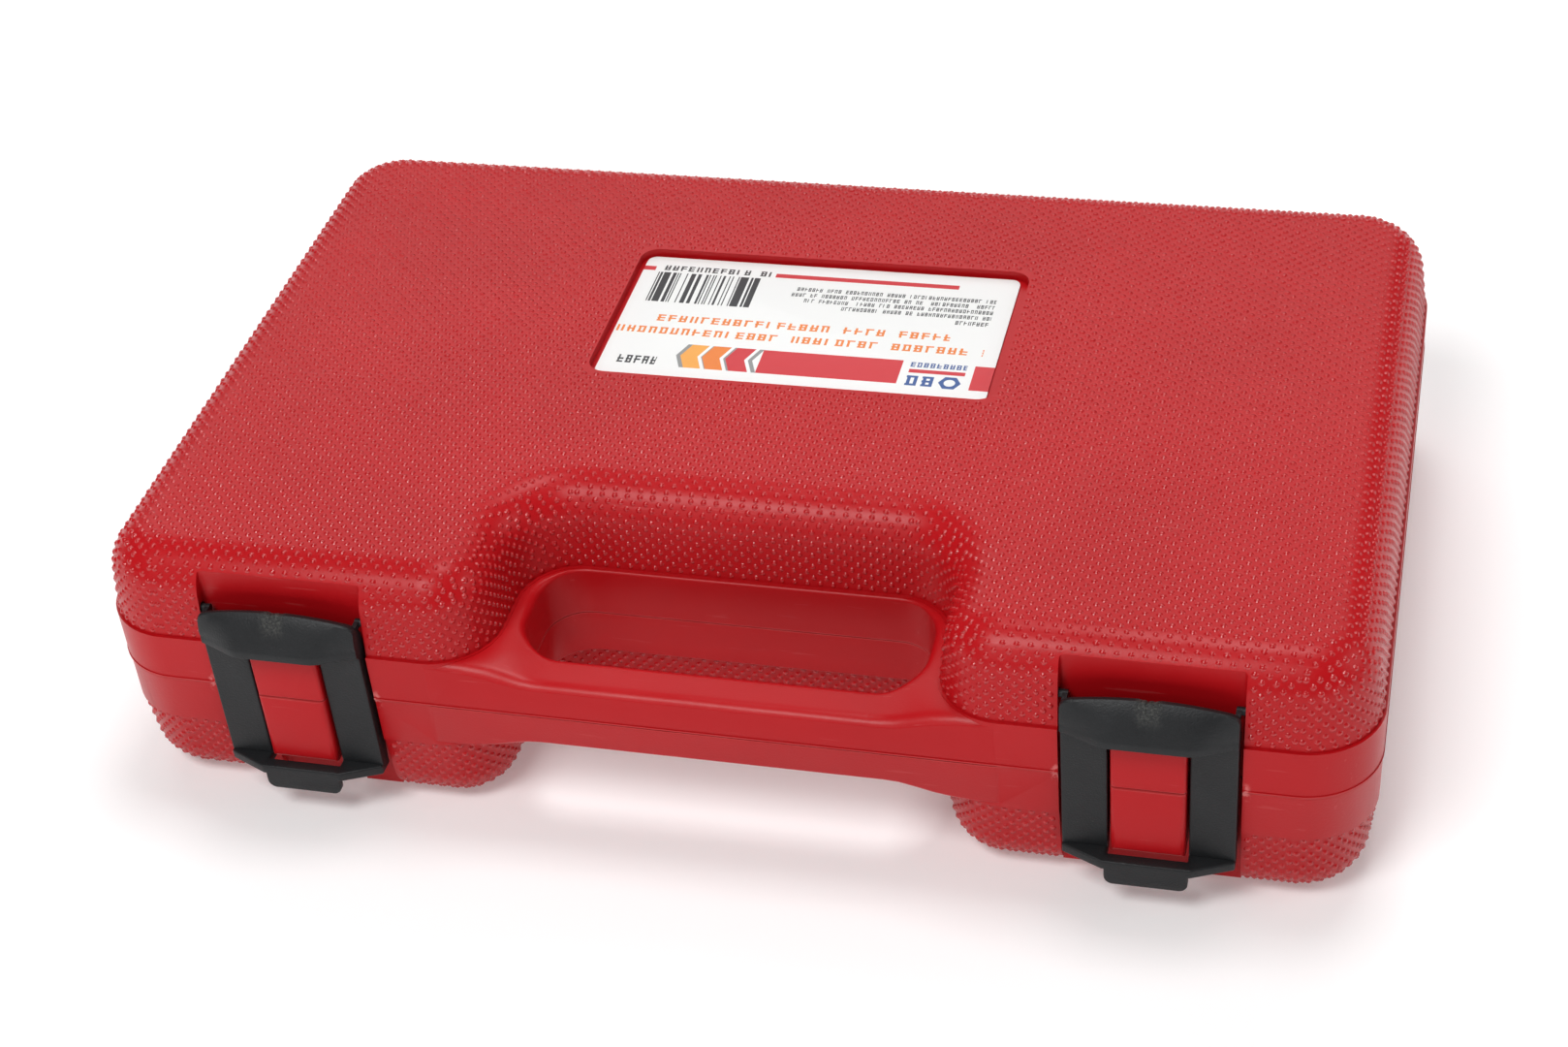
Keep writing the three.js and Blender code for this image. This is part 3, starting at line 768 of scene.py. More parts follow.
def socketCentres():
    widths = [socketForm["outer"][size] for size in socketSizes]
    edge = -(sum(widths) + socketForm["gap"] * (len(widths) - 1)) / 2
    centres = []
    for width in widths:
        centres.append(edge + width / 2)
        edge += width + socketForm["gap"]
    return centres


def alongY(name, radius, x, z, y0, y1, sides=48):
    return addRod(name, radius * mm, scaled(x, y0, z), scaled(x, y1, z), sides)


def makeBase(material):
    shell = caseHalf("case_base", False)
    for centre in latchCentres:
        half = recessForm["half"] * mm
        floorY = frontY + recessForm["floor"] * mm
        low = (centre * mm - half, floorY, recessForm["cutTop"] * mm)
        high = (centre * mm + half, frontY + recessForm["panelBack"] * mm, recessForm["reach"] * mm)
        panel = addBlock("panel", low, high)
        joinOn(shell, panel)
        cut = recessForm["cutHalf"] * mm
        low = (centre * mm - cut, frontY - 0.002, recessForm["cutTop"] * mm)
        high = (centre * mm + cut, frontY + recessForm["cutBack"] * mm, 0.045)
        thumb = softBlock("thumb cut", low, high, recessForm["cutCorner"] * mm)
        cutAway(shell, thumb)
        joinOn(shell, latchBlock(centre, *blockForm["base"]))
    bay = notchedBlock("bay", bayForm["inset"] * mm, -0.01, bayForm["baseHeight"] * mm, 8)
    cutAway(shell, bay)
    spare = trayForm["spare"]
    for x, size in zip(socketCentres(), socketSizes):
        radius = socketForm["outer"][size] / 2 + spare
        y0 = socketForm["mouthY"]
        split = y0 + socketForm["head"] + socketForm["shoulder"]
        drop = -socketForm["axisZ"]
        end = y0 + socketForm["length"]
        cutAway(shell, alongY("pocket", radius, x, drop, y0 - spare, split + spare, 64))
        cutAway(shell, alongY("pocket", socketForm["neck"] + spare, x, drop, split - 1, end + spare, 48))
    start, end = bitForm["tipY"], bitForm["tipY"] + bitForm["total"]
    for i in range(len(bitSizes)):
        x = (i - 1) * bitForm["pitch"]
        radius = bitForm["radius"] + spare
        cutAway(shell, alongY("pocket", radius, x, -bitForm["axisZ"], start - spare, end + spare, 48))
    for x in (-trayForm["lobeX"], trayForm["lobeX"]):
        half = trayForm["lobeHalf"]
        drop = trayForm["lobeDrop"] * mm
        tray = softBlock("tray", ((x - half) * mm, frontY + trayForm["lobeFront"] * mm, 1 * mm),
                         ((x + half) * mm, frontY + trayForm["lobeBack"] * mm, drop), trayForm["corner"] * mm,
                         trayForm["rim"] * mm, drop)
        cutAway(shell, tray)
    addKnuckles(shell, (-2, 0, 2))
    finishHalf(shell, False, material)
    print("base shell", len(shell.data.polygons), "faces")
    return shell


pipForm = {
    "pitch": 3.3, "radius": 0.86, "height": 0.5, "sunk": 0.06, "sides": 8, "wobble": 0.04,
    "wallStart": 1.1, "lastSlope": 48, "margin": 1.0, "recessMargin": 0.6, "runMargin": 0.4,
}


def outlineParts(inset):
    # straight runs (start, end, outward direction) and corner arcs (centre, radius, from, to) in mm
    form = caseForm
    halfX = form["width"] / 2 / mm - inset
    front = -form["depth"] / 2 / mm + inset
    back = form["depth"] / 2 / mm - inset
    notchX = form["notchHalf"] / mm + inset
    notchY = -form["depth"] / 2 / mm + form["notchDepth"] / mm + inset
    frontR, backR = form["frontCorner"] / mm - inset, form["backCorner"] / mm - inset
    lobeR, innerR = form["lobeRadius"] / mm - inset, form["innerRadius"] / mm + inset
    runs = [((-halfX + backR, back), (halfX - backR, back), (0, 1)),
            ((-notchX + innerR, notchY), (notchX - innerR, notchY), (0, -1))]
    arcs = []
    for side in (-1, 1):
        runs.append(((side * halfX, front + frontR), (side * halfX, back - backR), (side, 0)))
        runs.append(((side * (notchX + lobeR), front), (side * (halfX - frontR), front), (0, -1)))
        runs.append(((side * notchX, front + lobeR), (side * notchX, notchY - innerR), (-side, 0)))
        arcs.append(((side * (halfX - frontR), front + frontR), frontR, (side, -1), 1))
        arcs.append(((side * (halfX - backR), back - backR), backR, (side, 1), 1))
        arcs.append(((side * (notchX + lobeR), front + lobeR), lobeR, (-side, -1), 1))
        arcs.append(((side * (notchX - innerR), notchY - innerR), innerR, (side, 1), -1))
    return runs, arcs


def wallRows():
    # insets, heights and slopes at equal steps up the wall and round the edge
    form = caseForm
    centre = form["halfHeight"] / mm - form["roundRadius"] / mm
    radius = form["roundRadius"] / mm
    startAngle = math.radians(form["roundStart"])
    start = (form["ledge"] / mm, form["bandHeight"] / mm)
    bend = (form["roundInset"] / mm - radius * math.cos(startAngle), centre + radius * math.sin(startAngle))
    straight = math.dist(start, bend)
    lean = math.atan2(bend[0] - start[0], bend[1] - start[1])
    rows = []
    length = pipForm["wallStart"]
    while True:
        if length < straight:
            share = length / straight
            inset = start[0] + (bend[0] - start[0]) * share
            height = start[1] + (bend[1] - start[1]) * share
            slope = lean
        else:
            slope = startAngle + (length - straight) / radius
            inset = form["roundInset"] / mm - radius * math.cos(slope)
            height = centre + radius * math.sin(slope)
        if slope > math.radians(pipForm["lastSlope"]):
            return rows
        rows.append((inset, height, slope))
        length += pipForm["pitch"] / 2


def wallPips():
    found = []
    pitch = pipForm["pitch"]
    for row, (inset, height, slope) in enumerate(wallRows()):
        shift = pitch / 2 * (row % 2)
        runs, arcs = outlineParts(inset)
        tilt = (math.cos(slope), math.sin(slope))
        for (x0, y0), (x1, y1), (nx, ny) in runs:
            axis = 0 if abs(ny) > 0.5 else 1
            low, high = sorted(((x0, y0)[axis], (x1, y1)[axis]))
            first = math.ceil((low + pipForm["runMargin"] - shift) / pitch)
            last = math.floor((high - pipForm["runMargin"] - shift) / pitch)
            for step in range(first, last + 1):
                along = step * pitch + shift
                x, y = (along, y0) if axis == 0 else (x0, along)
                found.append((x, y, height, nx * tilt[0], ny * tilt[0], tilt[1]))
        for (cx, cy), radius, (sx, sy), bulge in arcs:
            count = max(1, round(radius * math.pi / 2 / pitch))
            for step in range(count):
                angle = math.pi / 2 * (step + (0.75 if row % 2 else 0.25)) / count
                dx, dy = sx * math.cos(angle), sy * math.sin(angle)
                found.append((cx + dx * radius, cy + dy * radius, height,
                              bulge * dx * tilt[0], bulge * dy * tilt[0], tilt[1]))
    return np.array(found)


def insetAt(points):
    # distance of plan points inside the outline, and the direction to the nearest edge
    runs, arcs = outlineParts(0)
    best = np.full(len(points), 1e9)
    toward = np.zeros((len(points), 2))

    def offer(nearest):
        away = nearest - points
        distance = np.linalg.norm(away, axis=1)
        closer = distance < best
        best[closer] = distance[closer]
        toward[closer] = away[closer] / np.maximum(distance[closer], 1e-9)[:, None]

    for start, end, _ in runs:
        start, end = np.array(start), np.array(end)
        line = end - start
        share = np.clip((points - start) @ line / (line @ line), 0, 1)
        offer(start + share[:, None] * line)
    for centre, radius, (sx, sy), _ in arcs:
        fromCentre = points - np.array(centre)
        length = np.maximum(np.linalg.norm(fromCentre, axis=1), 1e-9)
        nearest = np.array(centre) + fromCentre / length[:, None] * radius
        onArc = (fromCentre[:, 0] * sx > 0) & (fromCentre[:, 1] * sy > 0)
        offer(np.where(onArc[:, None], nearest, 1e6))
    return best, toward


def topPips():
    form = caseForm
    half = pipForm["pitch"] / 2
    across = int(form["width"] / 2 / mm / half)
    deep = int(form["depth"] / 2 / mm / half)
    columns, rows = range(-across, across + 1), range(-deep, deep + 1)
    points = np.array([(i * half, j * half) for i in columns for j in rows if (i + j) % 2 == 0])
    notchX, notchY = form["notchHalf"] / mm, -form["depth"] / 2 / mm + form["notchDepth"] / mm
    points = points[~((np.abs(points[:, 0]) < notchX + 1) & (points[:, 1] < notchY + 1))]
    inset, toward = insetAt(points)
    radius = form["roundRadius"] / mm
    roundInset = form["roundInset"] / mm
    cosine = np.clip((roundInset - inset) / radius, 0, 1)
    slope = np.arccos(cosine)
    height = np.where(inset > roundInset, form["halfHeight"] / mm,
                      form["halfHeight"] / mm - radius * (1 - np.sin(slope)))
    keep = slope > math.radians(pipForm["lastSlope"])
    rows = np.column_stack([points, height, toward[:, 0] * cosine, toward[:, 1] * cosine, np.sin(slope)])
    return rows[keep]


def pipPlaces(isLid):
    top = topPips()
    wall = wallPips()
    gap = pipForm["pitch"] * 0.5
    clear = [np.min(np.sum((top[:, :3] - pip[:3]) ** 2, axis=1)) > gap ** 2 for pip in wall]
    places = np.vstack([top, wall[np.array(clear)]])
    x, y = places[:, 0], places[:, 1] - frontY / mm
    margin = pipForm["margin"]
    back = recessForm["floor"] + pipForm["recessMargin"] if isLid else recessForm["panelBack"] + margin
    keep = np.ones(len(places), bool)
    for centre in latchCentres:
        keep &= ~((np.abs(x - centre) < recessForm["half"] + margin) & (y < back))
    if isLid:
        pocket = labelPocket
        inPocket = (y > pocket["front"] - margin) & (y < pocket["back"] + margin)
        keep &= ~((np.abs(x) < pocket["half"] + margin) & inPocket)
    return places[keep]


def pipTemplate():
    # one dome of a few faces, made from a cone with a raised ring
    freshSelection()
    bpy.ops.mesh.primitive_cone_add(vertices=pipForm["sides"], radius1=pipForm["radius"],
                                    radius2=pipForm["radius"] * 0.62, depth=pipForm["height"] * 0.68,
                                    end_fill_type="TRIFAN",
                                    location=(0, 0, pipForm["height"] * 0.34 - pipForm["sunk"]))
    dome = startPiece("pip")
    work(dome)
    top = max(dome.data.vertices, key=lambda point: point.co.z - 10 * point.co.xy.length)
    top.co.z = pipForm["height"]
    pickFaces(dome, lambda middle, normal: normal.z < -0.9)
    bpy.ops.mesh.delete(type="FACE")
    bpy.ops.mesh.select_all(action="SELECT")
    bpy.ops.mesh.delete_loose()
    leaveEdit()
    points = np.array([point.co for point in dome.data.vertices])
    faces = [tuple(face.vertices) for face in dome.data.polygons]
    bpy.data.objects.remove(dome)
    return points, faces


def pipPiece(name, places, isLid, material, body):
    points, faces = pipTemplate()
    normal = places[:, 3:6] / np.linalg.norm(places[:, 3:6], axis=1)[:, None]
    side = np.cross(normal, np.where(np.abs(normal[:, 2:3]) < 0.9, [[0, 0, 1.0]], [[0, 1.0, 0]]))
    side /= np.linalg.norm(side, axis=1)[:, None]
    other = np.cross(normal, side)
    wobble = np.random.default_rng(7).normal(1, pipForm["wobble"], (len(places), 1, 1))
    local = points[None] * np.concatenate([wobble, wobble, np.minimum(wobble, 1)], axis=2)
    moved = (places[:, None, :3] + local[..., 0:1] * side[:, None] + local[..., 1:2] * other[:, None]
             + local[..., 2:3] * normal[:, None])
    flip = 1 if isLid else -1
    moved[..., 2] = moved[..., 2] * flip
    moved = moved.reshape(-1, 3) * mm + np.array([0, 0, partingZ])
    order = [face if isLid else face[::-1] for face in faces]
    starts = range(0, len(places) * len(points), len(points))
    allFaces = [tuple(i + start for i in face) for start in starts for face in order]
    piece = pieceFrom(name, moved.tolist(), allFaces)
    piece.data.shade_smooth()
    piece.data.materials.append(material)
    placePiece(piece, body)


def makePips(isLid, material, body):
    places = pipPlaces(isLid)
    word = "lid" if isLid else "base"
    upper = places[:, 5] > math.sin(math.radians(60))
    onLeft = places[:, 0] < 0
    for name, chosen in (("left", upper & onLeft), ("right", upper & ~onLeft), ("wall", ~upper)):
        pipPiece(f"{word}_pips_{name}", places[chosen], isLid, material, body)
    print(word, "pips", len(places))


latchForm = {   # millimetres; y from the case's front face, z from the parting plane
    "half": 20.6, "windowHalf": 9.6, "front": -1.5, "back": 2.6,
    "barTop": 16, "barFoot": -22, "barSoft": 0.45,
    "hoodFoot": 14.4, "middleTop": 26.5, "archDrop": 2.1, "noseHalf": 10.5, "nose": -6.6, "endNose": -2.2,
    "noseBlend": 1.4, "bulge": 0.35, "lip": (17.4, 15.4), "crest": -1.2,
    "endRound": ((0, 1.4), (0.35, 0.65), (1.1, 0.2), (2.2, 0)),   # from the end, how much lower the crest is
    "backDrop": 3.2, "crown": ((1.4, 1.5), (0.2, 0.5), (-0.5, 0.12)),   # y, how far below the crest
    "stations": 18, "tearHalf": 2.6, "tearStations": 11, "tearDepth": 0.75,
    "web": (0.5, 0.8), "lug": 1.3, "trunnion": 1.0, "reach": 22.8,
    "ledge": (-23.6, -20.9), "ledgeSoft": 0.5, "keeperBack": -3.4,
    "tabHalf": 10, "tabBack": -4.4, "tabFoot": -28.2, "tabRound": 2.2, "tabSoft": 0.4,
}


def latchPoint(centre, x, y, z):
    return ((centre + x) * mm, frontY + y * mm, partingZ + z * mm)


def latchBox(name, centre, low, high, soft):
    block = addBlock(name, latchPoint(centre, *low), latchPoint(centre, *high))
    if soft:
        softenEdges(block, soft * mm, 40, 3)
    return block


def noseReach(x):
    # straight across the middle, then back to the ends, with the two corners eased
    form = latchForm
    total = 0
    for shift in (-1, -0.5, 0, 0.5, 1):
        share = (abs(x + shift * form["noseBlend"]) - form["noseHalf"]) / (form["half"] - form["noseHalf"])
        total += form["nose"] + (form["endNose"] - form["nose"]) * min(max(share, 0), 1)
    return total / 5


def hoodStations(side):
    # places across the hood with how far its crest is lowered at each
    form = latchForm
    draw = np.random.default_rng(31 if side == "left" else 47)
    stations = {}
    for step in range(form["stations"] + 1):
        x = (form["half"] - 3) * (2 * step / form["stations"] - 1)
        if abs(x) > form["tearHalf"] + 0.3:
            stations[x] = 0
    for inward, drop in form["endRound"]:
        for sign in (-1, 1):
            stations[sign * (form["half"] - inward)] = drop
    for step in range(form["tearStations"]):
        x = form["tearHalf"] * (2 * step / (form["tearStations"] - 1) - 1)
        depth = form["tearDepth"] * (1 - (x / form["tearHalf"]) ** 2)
        stations[x] = depth * draw.uniform(0.35, 1.0)
    return sorted(stations.items())


def latchHood(side, centre):
    form = latchForm
    lipTop, lipFoot = form["lip"]
    loops = []
    for x, drop in hoodStations(side):
        top = form["middleTop"] - form["archDrop"] * (x / form["half"]) ** 2 - drop
        nose = noseReach(x)
        crest = form["crest"]
        section = [
            (form["back"], form["hoodFoot"]), (form["back"], top - form["backDrop"]),
            *((y, top - below) for y, below in form["crown"]), (crest, top), (crest - 0.5, top - 0.3),
        ]
        for share in (0.3, 0.55, 0.8):
            y = crest - 0.5 + (nose - crest + 0.5) * share - form["bulge"] * math.sin(math.pi * share)
            section.append((max(y, form["nose"]), top - 0.3 + (lipTop - top + 0.3) * share))
        section += [(nose + 0.15, lipTop + 0.35), (nose, lipTop), (nose, lipFoot + 0.3),
                    (nose + 0.3, lipFoot), (form["front"] + 0.2, form["hoodFoot"])]
        loops.append([latchPoint(centre, x, y, z) for y, z in section])
    count = len(loops[0])
    points = [point for loop in loops for point in loop]
    faces = [tuple(range(count)), tuple(range(len(points) - 1, len(points) - count - 1, -1))]
    for ring in range(len(loops) - 1):
        for i in range(count):
            j = (i + 1) % count
            low, high = ring * count, (ring + 1) * count
            faces.append((low + j, low + i, high + i, high + j))
    hood = pieceFrom("hood", points, faces)
    tidyMesh(hood)
    return hood


def latchLedge(centre):
    # a block whose ends are pulled out and swept back, with the keeper's seat cut out behind
    form = latchForm
    low, high = form["ledge"]
    half, nose = form["half"], form["nose"]
    ledge = addBlock("ledge", latchPoint(centre, -form["noseHalf"], nose, low),
                     latchPoint(centre, form["noseHalf"], form["back"], high))
    for sign in (-1, 1):
        pickFaces(ledge, lambda middle, normal: normal.x * sign > 0.9)
        pull = sign * (half - form["noseHalf"]) * mm
        bpy.ops.mesh.extrude_region_move(TRANSFORM_OT_translate={"value": (pull, 0, 0)})
    endX = (half - 0.01) * mm
    noseY = frontY + (nose + 0.01) * mm
    pickEdges(ledge, lambda a, b: upright(a, b) and abs(a.x - centre * mm) > endX and a.y < noseY)
    bpy.ops.transform.translate(value=(0, (form["endNose"] - nose) * mm, 0))
    leaveEdit()
    seat = addBlock("seat", latchPoint(centre, -form["windowHalf"], form["keeperBack"], low - 1),
                    latchPoint(centre, form["windowHalf"], form["back"] + 1, high + 1))
    cutAway(ledge, seat)
    tidyMesh(ledge)
    softenEdges(ledge, form["ledgeSoft"] * mm, 15, 3)
    return ledge


def latchTab(centre):
    form = latchForm
    half = form["tabHalf"]
    tab = addBlock("tab", latchPoint(centre, -half, form["nose"], form["tabFoot"]),
                   latchPoint(centre, half, form["tabBack"], form["ledge"][1] - 0.6))
    footZ = partingZ + form["tabFoot"] * mm
    atFoot = flatAt(footZ, 1e-6)
    pickEdges(tab, lambda a, b: abs(a.x - b.x) < 1e-6 and atFoot(a, b))
    bevelPicked(form["tabRound"] * mm, 6)
    softenEdges(tab, form["tabSoft"] * mm, 40, 2)
    return tab


def makeLatch(side, centre):
    form = latchForm
    latch = latchHood(side, centre)
    latch.name = f"swing_latch_{side}"
    latch.data.name = latch.name
    for sign in (-1, 1):
        inner, outer = sorted((sign * form["windowHalf"], sign * form["half"]))
        bar = latchBox("bar", centre, (inner, form["front"], form["barFoot"]),
                       (outer, form["back"], form["barTop"]), form["barSoft"])
        joinOn(latch, bar)
    webFront, webHalf = form["web"]
    height = trunnion["height"]
    for sign in (-1, 1):   # a lug at each end carries a trunnion
        inner, outer = sorted((sign * (form["half"] - form["lug"]), sign * (form["half"] - 0.1)))
        lug = latchBox("lug", centre, (inner, webFront, height - webHalf),
                       (outer, trunnion["inset"], height + webHalf), 0)
        joinOn(latch, lug)
        rod = addRod("trunnion", form["trunnion"] * mm,
                     latchPoint(centre, sign * (form["half"] - form["lug"]), trunnion["inset"], height),
                     latchPoint(centre, sign * form["reach"], trunnion["inset"], height), 32)
        joinOn(latch, rod)
    joinOn(latch, latchLedge(centre))
    joinOn(latch, latchTab(centre))
    tidyMesh(latch)
    smooth(latch, 32)
    dress(latch, blackPlastic(f"black plastic {side}", centre))
    return latch


def dress(piece, material):
    piece.data.materials.clear()
    piece.data.materials.append(material)


def placePiece(piece, body, node=None):
    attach(piece, body)
    if node:
        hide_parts(node)


def makeHingePin(side):
    low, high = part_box(f"hinge_pin_{side}")
    middle = (low + high) / 2
    radius = (high.z - low.z) / 2
    pin = addRod(f"wire_pin_{side}", radius, (low.x, middle.y, middle.z), (high.x, middle.y, middle.z), 32)
    pickEdges(pin, lambda a, b: abs(a.x - b.x) < 1e-6)
    bevelPicked(hingeForm["pinEdge"] * mm, 3)
    smooth(pin, 30)
    dress(pin, machinedSteel(f"pin steel {side}", "pin"))
    return pin


labelInks = {
    "paper": (0.86, 0.86, 0.85, 1),
    "red": (0.60, 0.030, 0.040, 1),
    "orange": (0.80, 0.215, 0.035, 1),
    "amber": (0.86, 0.38, 0.07, 1),
    "grey": (0.28, 0.28, 0.28, 1),
    "black": (0.035, 0.035, 0.038, 1),
    "blue": (0.040, 0.100, 0.300, 1),
}
labelPrint = {
    "blocks": [   # ink, left, right, front, back
        ("red", -10.2, 27.8, 102.3, 112.8), ("red", 47.0, 54.0, 101.6, 112.4),
        ("red", -15.5, 36.0, 147.3, 149.2), ("red", -56.0, -50.0, 147.0, 149.0),
        ("red", 30.0, 45.0, 107.6, 109.2),
    ],
    "arrows": [   # ink, start and end measured along the middle of the arrow band
        ("grey", -33.2, -31.0), ("amber", -32.0, -27.3), ("grey", -26.3, -25.2), ("orange", -26.0, -21.2),
        ("grey", -20.2, -19.1), ("red", -19.6, -14.4), ("grey", -13.4, -12.2), ("red", 36.4, 37.2),
    ],
    "arrowBand": (102.3, 112.9),
    "rows": [   # ink, left, right, front, back, letter pitch, how much of the row is filled
        ("orange", -53.0, 48.0, 117.0, 120.0, 3.05, 0.86), ("orange", -43.0, 38.0, 122.9, 125.9, 3.05, 0.86),
        ("black", 38.0, 47.2, 130.7, 132.5, 1.15, 0.95), ("black", 5.0, 47.2, 133.6, 135.3, 1.05, 0.86),
        ("black", -5.0, 47.2, 136.3, 138.0, 1.05, 0.86), ("black", -9.0, 47.2, 138.9, 140.6, 1.05, 0.86),
        ("black", -8.0, 47.2, 141.6, 143.3, 1.05, 0.86), ("black", -47.5, -17.0, 147.4, 149.8, 2.3, 0.97),
        ("black", -48.6, -38.0, 102.7, 106.2, 2.3, 0.98), ("blue", 30.0, 45.0, 110.2, 112.3, 1.75, 0.98),
        ("blue", 30.0, 38.4, 101.9, 106.3, 4.2, 0.99),
    ],
    "bars": (-48.7, -19.1, 132.0, 146.4, 0.33),
    "nut": (41.6, 104.1, 3.0, 1.5),
}


def labelMaterial():
    finish = Finish("printed label", {"Specular IOR Level": 0.45})
    ink = labelInks
    x, y = finish.x, finish.y + halfDepth
    fibre = finish.noise(0.9, 4)
    colour = finish.mix(fibre * 0.12, ink["paper"], (0.78, 0.78, 0.76, 1))

    def block(left, right, front, back):
        return within(x, left, right) * within(y, front, back)

    def letters(row, left, right, front, back, pitch, filled):
        # rows of short strokes that only look like print
        along = (x - left) / pitch
        across = (y - front) / (back - front)
        share = along.fraction()
        cell = finish.node("ShaderNodeCombineXYZ", {}, {0: along.floor(), 1: float(row), 2: 3.7})
        chance = finish.tree.nodes.new("ShaderNodeTexWhiteNoise")
        chance.noise_dimensions = "3D"
        finish.tree.links.new(cell.socket, chance.inputs["Vector"])
        split = finish.tree.nodes.new("ShaderNodeSeparateColor")
        finish.tree.links.new(chance.outputs["Color"], split.inputs[0])
        first, second, third = (Number(finish.tree, socket) for socket in split.outputs)
        word = Number(finish.tree, chance.outputs["Value"]) < filled
        strokes = within(share, 0.06, 0.28)
        strokes = strokes.larger(within(share, 0.50, 0.72) * (first > 0.35))
        strokes = strokes.larger((share < 0.72) * (across > 0.80) * (second > 0.35))
        strokes = strokes.larger((share < 0.72) * within(across, 0.40, 0.60) * (third > 0.30))
        strokes = strokes.larger((share < 0.72) * (across < 0.20) * ((first + third) > 0.9))
        return strokes * word * block(left, right, front, back)

    for name, left, right, front, back in labelPrint["blocks"]:
        colour = finish.mix(block(left, right, front, back), colour, ink[name])
    low, high = labelPrint["arrowBand"]
    bent = x - abs(y - (low + high) / 2) * 0.4
    for name, start, end in labelPrint["arrows"]:
        colour = finish.mix(within(bent, start, end) * within(y, low, high) * (x < 30), colour, ink[name])
    for row, (name, left, right, front, back, pitch, filled) in enumerate(labelPrint["rows"]):
        colour = finish.mix(letters(row, left, right, front, back, pitch, filled), colour, ink[name])
    left, right, front, back, pitch = labelPrint["bars"]
    barNumber = ((x - left) / pitch).floor()
    stripe = finish.node("ShaderNodeTexWhiteNoise", {"noise_dimensions": "1D"}, {"W": barNumber})
    colour = finish.mix((stripe > 0.46) * block(left, right, front, back), colour, ink["black"])
    nutX, nutY, nutSize, nutHole = labelPrint["nut"]
    offX, offY = abs(x - nutX), abs(y - nutY)
    outside = offY.larger(offX * 0.866 + offY * 0.5)
    hole = (offX * offX + offY * offY) > nutHole * nutHole
    colour = finish.mix((outside < nutSize * 0.866) * hole, colour, ink["blue"])
    finish.feed("Base Color", colour)
    finish.feed("Roughness", finish.noise(0.4, 3) * 0.15 + 0.38)
    finish.feed("Normal", finish.bump(fibre, 0.00002, 0.4))
    return finish.material


labelSheet = {"corner": 2.5, "edge": 0.05}


def makeLabel():
    low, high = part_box("label")
    sheet = softBlock("printed_label", low, high, labelSheet["corner"] * mm)
    pickEdges(sheet, flatAt(high.z))
    bevelPicked(labelSheet["edge"] * mm, 2)
    smooth(sheet, 30)
    dress(sheet, labelMaterial())
    placePiece(sheet, "lid", "label")
    print("label")


def rodY(name, radius, x, z, y0, y1, sides=72, roll=0.0):
    freshSelection()
    bpy.ops.mesh.primitive_cylinder_add(vertices=sides, radius=radius * mm, depth=(y1 - y0) * mm,
                                        location=scaled(x, (y0 + y1) / 2, z),
                                        rotation=(math.pi / 2, roll, 0))
    return startPiece(name)


def turnedBody(name, x, z, y0, steps, sides=72):
    # a first short cylinder, then its far end pulled on to each (length, radius)
    (firstLength, firstRadius), rest = steps[0], steps[1:]
    body = rodY(name, firstRadius, x, z, y0, y0 + firstLength, sides)
    pickFaces(body, lambda middle, normal: normal.y > 0.9)
    radius, y = firstRadius, y0 + firstLength
    for length, nextRadius in rest:
        y += length
        factor = nextRadius / radius
        bpy.ops.mesh.extrude_region_move(TRANSFORM_OT_translate={"value": (0, length * mm, 0)})
        bpy.ops.transform.resize(value=(factor, 1, factor), center_override=scaled(x, y, z))
        radius = nextRadius
    leaveEdit()
    return body


def coneY(name, x, z, y0, y1, radius0, radius1, sides=72):
    freshSelection()
    bpy.ops.mesh.primitive_cone_add(vertices=sides, radius1=radius0 * mm, radius2=radius1 * mm,
                                    depth=(y1 - y0) * mm, location=scaled(x, (y0 + y1) / 2, z),
                                    rotation=(-math.pi / 2, 0, 0))
    return startPiece(name)


driveForm = {"mouth": (-0.8, 0.2), "mouthSize": (1.25, 1.52), "detentDepth": 7.5, "detentRadius": 1.9}


def cutDrive(body, x, z, end, depth, square):
    form = driveForm
    half = square / 2
    low, high = scaled(x - half, end - depth, z - half), scaled(x + half, end + 1, z + half)
    cutAway(body, addBlock("drive", low, high))
    ends = [end + along for along in form["mouth"]]
    radii = [half * size for size in form["mouthSize"]]
    cutAway(body, coneY("drive mouth", x, z, *ends, *radii))
    for dx, dz in ((half, 0), (-half, 0), (0, half), (0, -half)):
        freshSelection()
        place = scaled(x + dx, end - form["detentDepth"], z + dz)
        bpy.ops.mesh.primitive_uv_sphere_add(segments=20, ring_count=12, radius=form["detentRadius"] * mm,
                                             location=place)
        cutAway(body, startPiece("detent"))


def groove(radius, width, depth, slope):   # steps down into a ring groove and up again
    return [(slope, radius - depth), (width, radius - depth), (slope, radius)]


